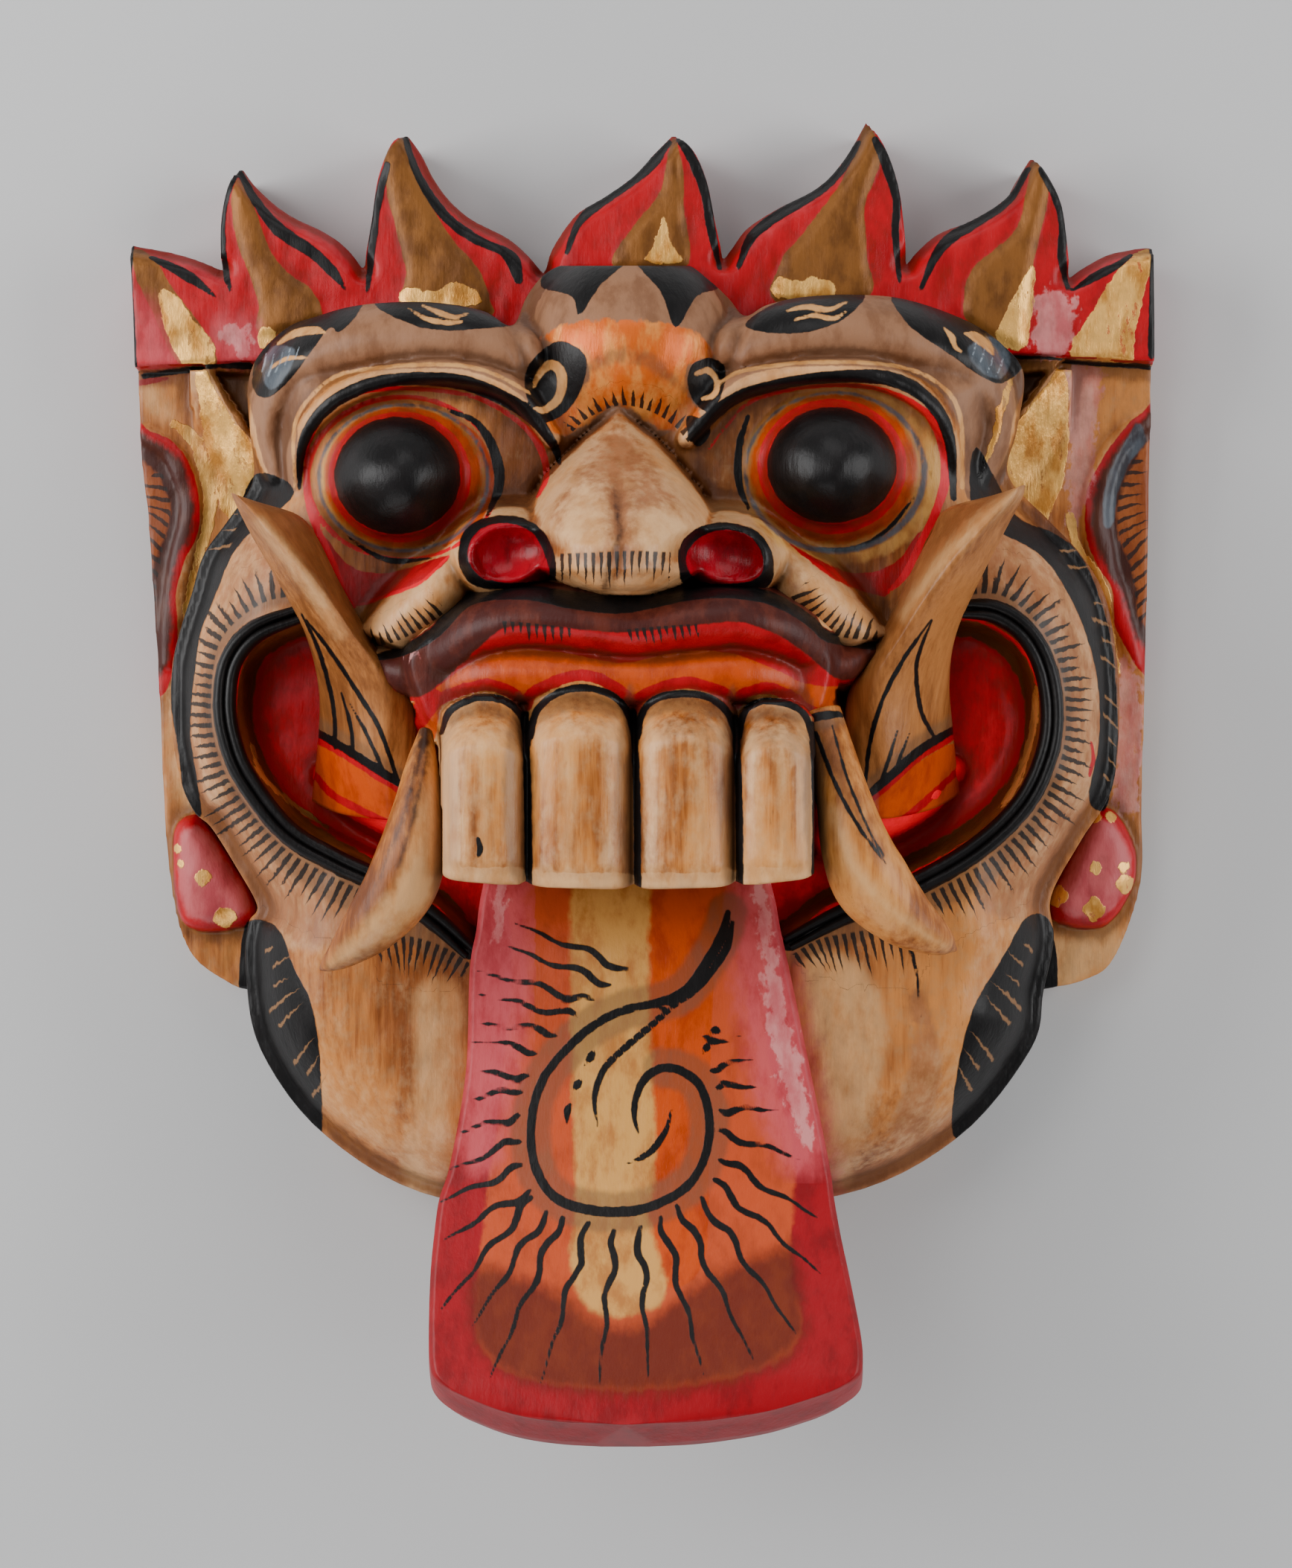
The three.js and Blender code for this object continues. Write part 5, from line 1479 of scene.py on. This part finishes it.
# Shallow knife facets: a sum of a few slanted waves of uneven pitch.
def toolMarks(board, scale=9.0, seed=2):
    rng = np.random.default_rng(seed)
    marks = np.zeros(board.u.shape)
    for wave in range(14):
        angle = rng.uniform(0, math.pi)
        pitch = scale * unitsPerMm * rng.uniform(0.6, 1.8)
        phase = rng.uniform(0, 2 * math.pi)
        along = (board.u * math.cos(angle) + board.v * math.sin(angle)) / pitch
        marks += np.sin(along * 2 * math.pi + phase) * rng.uniform(0.3, 1)
    return marks / 3.2 * block["toolMark"]


# Fewer triangles where the skin is plain; at the paint's borders and under the fine strokes it stays dense.
def thinOut(mesh, mostTriangles, paint):
    coats = Coats(mesh)
    paint(coats)
    thing = bpy.data.objects.new("thinOut", mesh)
    bpy.context.scene.collection.objects.link(thing)
    group = thing.vertex_groups.new(name="plain")
    group.add(np.flatnonzero(~coats.busy()).tolist(), 1.0, "REPLACE")
    triangles = sum(len(face.vertices) - 2 for face in mesh.polygons)
    modifier = thing.modifiers.new("thinOut", "DECIMATE")
    modifier.ratio = min(1.0, mostTriangles / triangles)
    modifier.vertex_group = "plain"
    thinned = plainMesh(thing, mesh.name)
    bpy.data.objects.remove(thing)
    thinned.polygons.foreach_set("use_smooth", np.ones(len(thinned.polygons), bool))
    print(mesh.name, "triangles", triangles, "to", sum(len(face.vertices) - 2 for face in thinned.polygons))
    return thinned


# What an object's modifiers make of it, as a mesh of its own.
def plainMesh(thing, name):
    bpy.context.view_layer.update()
    seen = thing.evaluated_get(bpy.context.evaluated_depsgraph_get())
    mesh = bpy.data.meshes.new_from_object(seen)
    mesh.name = name
    return mesh


# The upper jaw: lip, gum and four teeth on one block that stands in the mouth.
upperJaw = {
    "voxel": 0.7,            # mm
    "floor": 30.0,           # mm, where it stands in the wood
    "underLip": 24.0,        # mm, how much higher it stands behind the lip, over the hollow
    "toothTop": 109.0,
    "bodyTop": 88.0,         # mm, the block behind the teeth
    "bodyRound": 6.0,
    "toothRound": 0.672,     # how far a tooth's front falls away to its sides, as a share of its half width
    "toothArch": 34.0,       # sheet units, how far the arch at a tooth's top falls to its sides
    "toothLean": 13.0,       # mm, how far a tooth starts behind its foot, under the gum
    "toothLeanRun": 70.0,    # sheet units in which it comes forward
    "footBevel": 1.5,        # mm
    "footRound": 9.0,        # sheet units, at the corners of a tooth's foot
    "overTongue": 84.0,      # mm, behind the teeth's lower ends the wood is cut away up to here
    "overTongueFrom": 1152.0,
}
teeth = [                # left and right edge, top and foot of each tooth
    {"left": 592, "right": 706, "top": 934, "foot": 1187},
    {"left": 706, "right": 851, "top": 922, "foot": 1194},
    {"left": 851, "right": 989, "top": 926, "foot": 1194},
    {"left": 989, "right": 1096, "top": 940, "foot": 1186},
]


def makeUpperJaw():
    board = Board(470, 770, 1200, 1215, upperJaw["voxel"], upperJaw["floor"])
    jawOutline = smooth(inRows([
        845,800, 1010,796, 1090,830, 1128,880, 1118,950, 1100,990, 1094,1100, 1091,1168, 1060,1182,
        845,1192, 640,1184, 600,1170, 592,1100, 584,1000, 560,960, 540,880, 600,826, 680,796
    ], 2), closed=True)
    depth = depthInside(board.u, board.v, jawOutline)
    body = upperJaw["bodyTop"] - upperJaw["bodyRound"] * (1 - ramp(depth, 0, 3))
    board.raiseTo(np.where(depth > 0, body, 20), 0.1)
    # The lip, a heavy roll bent like a bow, and the gum below it.
    lip = [500,888,76,16,6, 545,902,82,34,10, 600,878,92,44,13, 650,846,98,44,14, 710,832,101,44,14,
        790,838,102,44,14, 850,845,102,44,14, 920,838,102,44,14, 990,832,101,44,14, 1045,846,98,44,14,
        1092,874,91,42,13, 1130,890,83,30,10, 1166,876,76,14,6]
    board.raiseTo(board.roll(lip), 0.8)
    gum = [572,968,78,14,6, 608,928,89,36,10, 680,905,96,42,10, 850,912,97,42,10, 1000,905,96,42,10,
        1072,928,89,36,10, 1112,962,78,16,6]
    board.raiseTo(board.roll(gum), 0.8)
    for tooth in teeth:
        middle = 0.5 * (tooth["left"] + tooth["right"])
        half = 0.5 * (tooth["right"] - tooth["left"])
        across = (board.u - middle) / half
        # The top is a round arch, and the front leans out to it from under the gum.
        top = tooth["top"] + upperJaw["toothArch"] * (1 - np.sqrt(np.clip(1 - across ** 2, 0, 1)))
        fall = half / unitsPerMm * upperJaw["toothRound"]
        front = upperJaw["toothTop"] - fall * (1 - np.sqrt(np.clip(1 - np.abs(across) ** 2.2, 0, 1)))
        front -= upperJaw["toothLean"] * (1 - ramp(board.v, top, top + upperJaw["toothLeanRun"]))
        front -= upperJaw["footBevel"] * ramp(board.v, tooth["foot"] - 34, tooth["foot"])
        inside = (np.abs(across) < 1) & (board.v > top) & (board.v < tooth["foot"] + 4)
        board.raiseTo(np.where(inside, front, 30), 0.5)
    foot = np.interp(board.u, [592, 706, 851, 989, 1096], [1182, 1192, 1196, 1192, 1180])
    for tooth in teeth:
        across = (2 * board.u - tooth["left"] - tooth["right"]) / (tooth["right"] - tooth["left"])
        foot -= np.where(np.abs(across) < 1, upperJaw["footRound"] * np.abs(across) ** 7, 0)
    board.inside = depth
    carved["upperJaw"] = board
    outline = np.minimum((board.v - 770) / unitsPerMm, (foot - board.v) / unitsPerMm)
    outside = (board.u < 590) | (board.u > 1098)
    outline = np.where(outside & (board.v > 1000), -1.5, outline)
    standing = np.where(board.height > 45, 1.5, -1.5)
    back = upperJaw["floor"] + upperJaw["underLip"] * (1 - ramp(board.v, 855, 900))
    field, levels = woodField(board, np.minimum(outline, standing * 3), back)
    # Behind the lower ends of the teeth the wood is cut away over the tongue.
    gap = np.maximum(upperJaw["overTongueFrom"] - board.v, 0) / unitsPerMm
    under = levels[None, None, :] - upperJaw["overTongue"]
    cut = np.maximum(gap[:, :, None], under)
    field = np.maximum(field, -cut)
    mesh = skinMesh("upperJaw", board, field, levels)
    print("upper jaw", len(mesh.polygons), "faces")
    return thinOut(mesh, 120000, paintUpperJaw)


# A bar of round section along stations [u, v, z, half width in mm, half depth in mm], closed at both ends.
def makeBar(name, stations, around=110, perSpan=22):
    run = smooth(inRows(stations, 5), perSpan)
    middle = toSpace(run[:, 0], run[:, 1], run[:, 2])
    along = np.gradient(middle, axis=0)
    along /= np.linalg.norm(along, axis=1)[:, None]
    across = np.stack([-along[:, 1], along[:, 0], 0 * along[:, 0]], axis=1)
    across /= np.linalg.norm(across, axis=1)[:, None]
    up = np.cross(along, across)
    turn = np.arange(around) / around * 2 * math.pi
    wide = np.maximum(run[:, 3], 0.05)[:, None, None]
    deep = np.maximum(run[:, 4], 0.05)[:, None, None]
    rings = (middle[:, None, :] + across[:, None, :] * np.cos(turn)[None, :, None] * wide
             + up[:, None, :] * np.sin(turn)[None, :, None] * deep)
    return ringMesh(name, rings)


# A closed mesh through rings of points: rings by corners by xyz.
def ringMesh(name, rings):
    count, around = rings.shape[:2]
    ends = np.stack([rings[0].mean(axis=0), rings[-1].mean(axis=0)])
    points = np.vstack([rings.reshape(-1, 3), ends])
    quads = []
    for ring in range(count - 1):
        for corner in range(around):
            nextCorner = (corner + 1) % around
            quads.append((ring * around + corner, ring * around + nextCorner,
                          (ring + 1) * around + nextCorner, (ring + 1) * around + corner))
    mesh = bpy.data.meshes.new(name)
    caps = []
    last = (count - 1) * around
    for corner in range(around):
        nextCorner = (corner + 1) % around
        caps.append((nextCorner, corner, count * around))
        caps.append((last + corner, last + nextCorner, count * around + 1))
    mesh.from_pydata((points / 1000).tolist(), [], quads + caps)
    mesh.update()
    turnOut(mesh)
    mesh.polygons.foreach_set("use_smooth", np.ones(len(mesh.polygons), bool))
    return mesh


fangs = {
    "left": [572,984,88,1.6,3, 567,1030,91,3.8,5, 562,1086,93,5.8,7, 553,1146,94,7.8,8, 536,1194,93,8.2,8,
        502,1240,91,6.8,7, 466,1276,87,4.1,5, 446,1292,85,2.3,3.2, 433,1301,83,0.6,1],
    "right": [1106,955,88,4.0,3, 1120,1014,91,5.0,5, 1134,1076,93,6.3,7, 1150,1138,94,8.0,8,
        1173,1188,93,8.9,8, 1212,1230,90,7.2,7, 1247,1254,87,4.9,5.4, 1270,1268,84,2.8,3.4,
        1283,1276,83,0.6,1],
}

# Round each tusk's section: outer edge, belly, ridge, inner face, inner seam and back, as [u, v, z].
tusks = {
    "left": [
        [420,1075,44, 452,1092,56, 500,1100,64, 530,1102,66, 560,1100,60, 490,1095,36],
        [429,985,50, 455,1000,62, 490,1018,70, 525,1030,72, 552,1036,66, 490,1012,36],
        [428,920,56, 460,925,68, 500,925,76, 530,930,76, 556,948,66, 490,935,40],
        [410,850,60, 428,850,72, 462,845,81, 478,852,80, 505,870,66, 450,850,46],
        [372,778,65, 388,775,78, 412,770,86, 430,775,80, 456,782,64, 412,775,52],
        [337,716,68, 350,714,80, 366,716,88, 398,722,80, 426,722,64, 380,716,55],
        [318,678,74, 324,678,82, 336,682,88, 370,690,80, 400,692,66, 350,686,60],
        [311,663,78, 314,663,82, 318,665,86, 332,670,80, 345,674,72, 326,668,68],
    ],
    "right": [
        [1288,1065,44, 1256,1086,56, 1206,1098,64, 1172,1100,66, 1140,1098,60, 1212,1090,36],
        [1280,988,50, 1250,1002,62, 1212,1020,70, 1178,1034,72, 1148,1040,66, 1210,1012,36],
        [1275,915,56, 1240,922,68, 1200,926,76, 1165,930,76, 1138,944,66, 1205,935,40],
        [1285,850,60, 1262,848,72, 1232,842,81, 1208,848,80, 1180,862,66, 1240,850,46],
        [1318,775,65, 1300,772,78, 1276,764,86, 1250,768,80, 1220,778,64, 1268,775,52],
        [1350,712,68, 1336,710,80, 1318,712,88, 1282,716,80, 1250,720,64, 1300,716,55],
        [1371,672,74, 1364,672,82, 1350,676,88, 1312,682,80, 1272,684,66, 1330,684,60],
        [1377,653,78, 1374,652,82, 1368,654,86, 1352,660,80, 1336,665,72, 1358,660,68],
    ],
}


def makeTusk(name, stations):
    rings = np.stack([smooth(inRows(ring, 3), 40, closed=True) for ring in smooth(stations, 22)])
    return ringMesh(name, toSpace(rings[:, :, 0], rings[:, :, 1], rings[:, :, 2]))


# The tongue: rows across it [v, left, right, z of the front, depth], from inside the mouth to its end.
tongue = {
    "rows": [
        1120,668,1016,60,26, 1199,647,1039,65,30, 1250,640,1049,68,34, 1305,631,1061,70,38,
        1439,626,1089,72,44, 1563,605,1114,75,46, 1612,590,1121,77.2,34, 1662,583,1130,80.2,25,
        1718,578,1142,84,21, 1796,576,1157,90,17, 1834,578,1159,93,15, 1852,584,1152,94.4,15,
        1868,602,1126,95.4,15, 1883,634,1084,96.3,15, 1896,668,1040,97.1,15, 1905,704,990,97.7,15,
        1911,748,940,98.2,15, 1914,800,880,98.5,15,
    ],
    "lean": 30.0,            # sheet units that the end face runs under the front's arris
    "leanFrom": 84.0,        # mm, height from which the end leans
    "leanOver": 12.0,
    "crown": 2.2,            # mm the front is fuller in its middle
    "sides": 0.92,           # how far corners crowd together towards the edges
    "edgeRound": 1.6,        # mm
}


def makeTongue():
    rows = smooth(inRows(tongue["rows"], 5), 18)
    widest = math.pi / 2 * tongue["sides"]
    across = np.sin(np.linspace(-1, 1, 180) * widest) / math.sin(widest)
    rings = []
    for v, left, right, z, deep in rows:
        middle = (left + right) / 2
        half = (right - left) / 2
        lean = tongue["lean"] * np.clip((z - tongue["leanFrom"]) / tongue["leanOver"], 0, 1)
        edge = (1 - np.abs(across)) * half / unitsPerMm
        drop = tongue["edgeRound"] * np.clip(1 - edge / tongue["edgeRound"], 0, 1) ** 2
        front = z + tongue["crown"] * (1 - across ** 2) - drop
        top = np.column_stack([middle + across * half, np.full(len(across), v), front])
        inset = min(8, half * 0.4)
        under = [[right, v + lean * 0.3, z - deep * 0.4], [right, v + lean * 0.8, z - deep * 0.8],
                 [right - inset, v + lean, z - deep], [middle, v + lean, z - deep - 1],
                 [left + inset, v + lean, z - deep],
                 [left, v + lean * 0.8, z - deep * 0.8], [left, v + lean * 0.3, z - deep * 0.4]]
        rings.append(np.vstack([top, under]))
    rings = np.array(rings)
    return ringMesh("tongue", toSpace(rings[:, :, 0], rings[:, :, 1], rings[:, :, 2]))


# The rim of the mouth's corners: ropes side by side along a path, drawn by a node tree.
rim = {
    "ropes": 2,
    "apart": 2.45,           # mm, from rope to rope
    "halfWide": 1.5,         # mm
    "halfDeep": 2.6,
    "middle": 62.6,          # mm, height of the ropes' middles
    "rings": 300,
    "around": 22,
}


# One strand per rope: the path is pushed sideways along its attribute "outward", and a section is drawn along
# it that the attribute "full" makes thinner at the ends.
def ropeTree(material):
    tree = bpy.data.node_groups.new("ropes", "GeometryNodeTree")
    sockets = {}
    tree.interface.new_socket("Geometry", in_out="INPUT", socket_type="NodeSocketGeometry")
    for name, kind, value in (("Apart", "NodeSocketFloat", rim["apart"] / 1000),
                              ("Half width", "NodeSocketFloat", rim["halfWide"] / 1000),
                              ("Half depth", "NodeSocketFloat", rim["halfDeep"] / 1000),
                              ("Rings", "NodeSocketInt", rim["rings"]),
                              ("Around", "NodeSocketInt", rim["around"])):
        socket = tree.interface.new_socket(name, in_out="INPUT", socket_type=kind)
        sockets[socket.identifier] = value
    tree.interface.new_socket("Geometry", in_out="OUTPUT", socket_type="NodeSocketGeometry")

    def add(kind, **settings):
        node = tree.nodes.new(kind)
        for key, value in settings.items():
            setattr(node, key, value)
        return node

    def join(output, socket):
        tree.links.new(output, socket)

    given = add("NodeGroupInput")
    path = add("GeometryNodeMeshToCurve")
    join(given.outputs["Geometry"], path.inputs["Mesh"])
    even = add("GeometryNodeResampleCurve")
    join(path.outputs["Curve"], even.inputs["Curve"])
    join(given.outputs["Rings"], even.inputs["Count"])
    outward = add("GeometryNodeInputNamedAttribute", data_type="FLOAT_VECTOR")
    outward.inputs["Name"].default_value = "outward"
    full = add("GeometryNodeInputNamedAttribute", data_type="FLOAT")
    full.inputs["Name"].default_value = "full"
    circle = add("GeometryNodeCurvePrimitiveCircle")
    circle.inputs["Radius"].default_value = 1.0
    join(given.outputs["Around"], circle.inputs["Resolution"])
    size = add("ShaderNodeCombineXYZ")
    join(given.outputs["Half width"], size.inputs["X"])
    join(given.outputs["Half depth"], size.inputs["Y"])
    section = add("GeometryNodeTransform")
    join(circle.outputs["Curve"], section.inputs["Geometry"])
    join(size.outputs["Vector"], section.inputs["Scale"])
    strands = add("GeometryNodeJoinGeometry")
    for rope in range(rim["ropes"]):
        shift = add("ShaderNodeMath", operation="MULTIPLY")
        join(given.outputs["Apart"], shift.inputs[0])
        shift.inputs[1].default_value = rope - (rim["ropes"] - 1) / 2
        pushed = add("ShaderNodeVectorMath", operation="SCALE")
        join(outward.outputs["Attribute"], pushed.inputs[0])
        join(shift.outputs[0], pushed.inputs["Scale"])
        placed = add("GeometryNodeSetPosition")
        join(even.outputs["Curve"], placed.inputs["Geometry"])
        join(pushed.outputs["Vector"], placed.inputs["Offset"])
        upright = add("GeometryNodeSetCurveNormal", mode="Z_UP")
        join(placed.outputs["Geometry"], upright.inputs["Curve"])
        strand = add("GeometryNodeCurveToMesh")
        strand.inputs["Fill Caps"].default_value = True
        join(upright.outputs["Curve"], strand.inputs["Curve"])
        join(section.outputs["Geometry"], strand.inputs["Profile Curve"])
        join(full.outputs["Attribute"], strand.inputs["Scale"])
        join(strand.outputs["Mesh"], strands.inputs["Geometry"])
    real = add("GeometryNodeRealizeInstances")
    join(strands.outputs["Geometry"], real.inputs["Geometry"])
    painted = add("GeometryNodeSetMaterial")
    painted.inputs["Material"].default_value = material
    join(real.outputs["Geometry"], painted.inputs["Geometry"])
    result = add("NodeGroupOutput")
    join(painted.outputs["Geometry"], result.inputs["Geometry"])
    return tree, sockets


def makeRim(name, sweep):
    run = smooth(sweep, 8)
    mesh = bpy.data.meshes.new(name + "Path")
    mesh.from_pydata((toSpace(run[:, 0], run[:, 1], np.full(len(run), rim["middle"])) / 1000).tolist(),
                     [(spot, spot + 1) for spot in range(len(run) - 1)], [])
    outward = np.stack([run[:, 2], -run[:, 3], 0 * run[:, 2]], axis=1)
    outward /= np.linalg.norm(outward, axis=1)[:, None]
    sideways = mesh.attributes.new("outward", "FLOAT_VECTOR", "POINT")
    sideways.data.foreach_set("vector", outward.astype(np.float32).ravel())
    fullness = mesh.attributes.new("full", "FLOAT", "POINT")
    fullness.data.foreach_set("value", run[:, 4].astype(np.float32))
    thing = bpy.data.objects.new(name + "Path", mesh)
    bpy.context.scene.collection.objects.link(thing)
    tree, sockets = ropeTree(bpy.data.materials.new(name + "Wood"))    # the paint takes its place later
    modifier = thing.modifiers.new("ropes", "NODES")
    modifier.node_group = tree
    for identifier, value in sockets.items():
        modifier[identifier] = value
    swept = plainMesh(thing, name)
    bpy.data.objects.remove(thing)
    swept.materials.clear()
    swept.polygons.foreach_set("use_smooth", [len(face.vertices) < 5 for face in swept.polygons])
    turnOut(swept)
    print(name, "of", len(swept.polygons), "faces")
    return swept


def turnOut(mesh):
    if sum(mesh.vertices[face.vertices[0]].co.dot(face.normal) * face.area for face in mesh.polygons) < 0:
        mesh.flip_normals()


def addPiece(name, mesh, material=None):
    piece = bpy.data.objects.new(name, mesh)
    bpy.context.scene.collection.objects.link(piece)
    if material:
        mesh.materials.append(material)
    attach(piece, "root")
    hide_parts("mask")
    return piece


# Camera straight above the sheet's middle, far enough for its perspective.
view = {"sensorMm": 36.0, "rowsOfPhoto": 2107.0}
studio = {
    "floorGrey": (0.5, 0.5, 0.5, 1),
    "floorRough": 0.9,
    "skyColour": (0.75, 0.78, 0.82, 1),
    "skyStrength": 0.3,
    "lampsLookAt": (0, 0, 0.06),
}


def makeCamera():
    camera = bpy.data.objects.new("camera", bpy.data.cameras.new("camera"))
    bpy.context.scene.collection.objects.link(camera)
    bpy.context.scene.camera = camera
    above = sheet["seenFrom"] - sheet["trueAt"]
    camera.data.sensor_width = view["sensorMm"]
    camera.data.sensor_fit = "AUTO"
    camera.data.lens = view["sensorMm"] * above * unitsPerMm / view["rowsOfPhoto"]
    camera.data.clip_start = 0.01
    camera.location = (-sheet["shiftX"] / 1000, -sheet["shiftY"] / 1000, sheet["seenFrom"] / 1000)


lamps = [
    ("softLeft", (-0.85, 0.2, 0.5), 13, 0.7),
    ("softRight", (0.9, 0.1, 0.52), 9, 0.7),
    ("softTop", (0.1, 1.1, 0.8), 5, 0.8),
    ("softFoot", (-0.2, -1.1, 0.5), 5, 0.8),
    ("softHigh", (-0.4, 0.3, 1.1), 2.4, 0.4),
]


def makeStage():
    bpy.ops.mesh.primitive_plane_add(size=4)
    floor = bpy.context.object
    floor.name = "floor"
    paper = bpy.data.materials.new("paper")
    paper.use_nodes = True
    paper.node_tree.nodes["Principled BSDF"].inputs["Base Color"].default_value = studio["floorGrey"]
    paper.node_tree.nodes["Principled BSDF"].inputs["Roughness"].default_value = studio["floorRough"]
    floor.data.materials.append(paper)
    for name, place, power, size in lamps:
        light = bpy.data.lights.new(name, "AREA")
        light.energy = power
        light.size = size
        lamp = bpy.data.objects.new(name, light)
        bpy.context.scene.collection.objects.link(lamp)
        lamp.location = place
        towards = Vector(studio["lampsLookAt"]) - Vector(place)
        lamp.rotation_euler = towards.to_track_quat("-Z", "Y").to_euler()
    world = bpy.context.scene.world or bpy.data.worlds.new("world")
    bpy.context.scene.world = world
    world.use_nodes = True
    world.node_tree.nodes["Background"].inputs["Color"].default_value = studio["skyColour"]
    world.node_tree.nodes["Background"].inputs["Strength"].default_value = studio["skyStrength"]


makeCamera()
makeStage()

tickRow = {"name": "tick", "fill": 0.52, "cover": 0.95, "colour": (26, 22, 20)}
hairRow = {"name": "hair", "fill": 0.22, "cover": 0.7, "colour": (146, 104, 66), "stagger": 0.4,
           "skipped": 0.35}
hatchRow = {"name": "hatch", "fill": 0.4, "cover": 0.9, "colour": (34, 26, 24)}


def rowNames(rows):
    return [row["name"] + part for row in rows for part in ("Across", "Count")]


def dress(name, mesh, paint, look, rows=(), backLimit=-2.0):
    coats = Coats(mesh)
    paint(coats)
    used = [pigment for pigment in pigments if pigment in coats.depths]
    coats.finish(used + rowNames(rows), backLimit)
    print(name, "painted with", len(used), "coats")
    return addPiece(name, mesh, woodMaterial(name + "Paint", look, used, rows))


plainWood = {"light": (192, 124, 64), "middle": (150, 84, 36), "dark": (96, 48, 18), "darkShare": 0.9,
             "patchesPerMetre": 34.0, "rough": 0.38}
toothWood = {"light": (206, 140, 74), "middle": (164, 92, 34), "dark": (100, 50, 16), "darkShare": 1.0,
             "patchesPerMetre": 44.0, "rough": 0.34, "offset": 4.0}
tuskWood = {"light": (176, 114, 62), "middle": (140, 84, 40), "dark": (92, 50, 22), "darkShare": 0.8,
            "patchesPerMetre": 30.0, "rough": 0.36, "offset": 6.0}
dress("crownAndEars", makeSlab(), paintSlab, plainWood, [hatchRow, hairRow], block["bareBehind"])
dress("face", makeFace(), paintFace, plainWood, [tickRow, hairRow], block["bareBehind"])
for side, sweep in zip(("left", "right"), rimSweeps):
    dress(side + "Rim", makeRim(side + "Rim", sweep), paintRim, plainWood)
dress("upperJaw", makeUpperJaw(), paintUpperJaw, toothWood, [tickRow])
for side in ("left", "right"):
    dress(side + "Fang", makeBar(side + "Fang", fangs[side]), lambda coats: layRows(coats, fangPaint[side]),
          toothWood)
    dress(side + "Tusk", makeTusk(side + "Tusk", tusks[side]), lambda coats: paintTusk(coats, side), tuskWood)
dress("tongue", makeTongue(), paintTongue, toothWood)
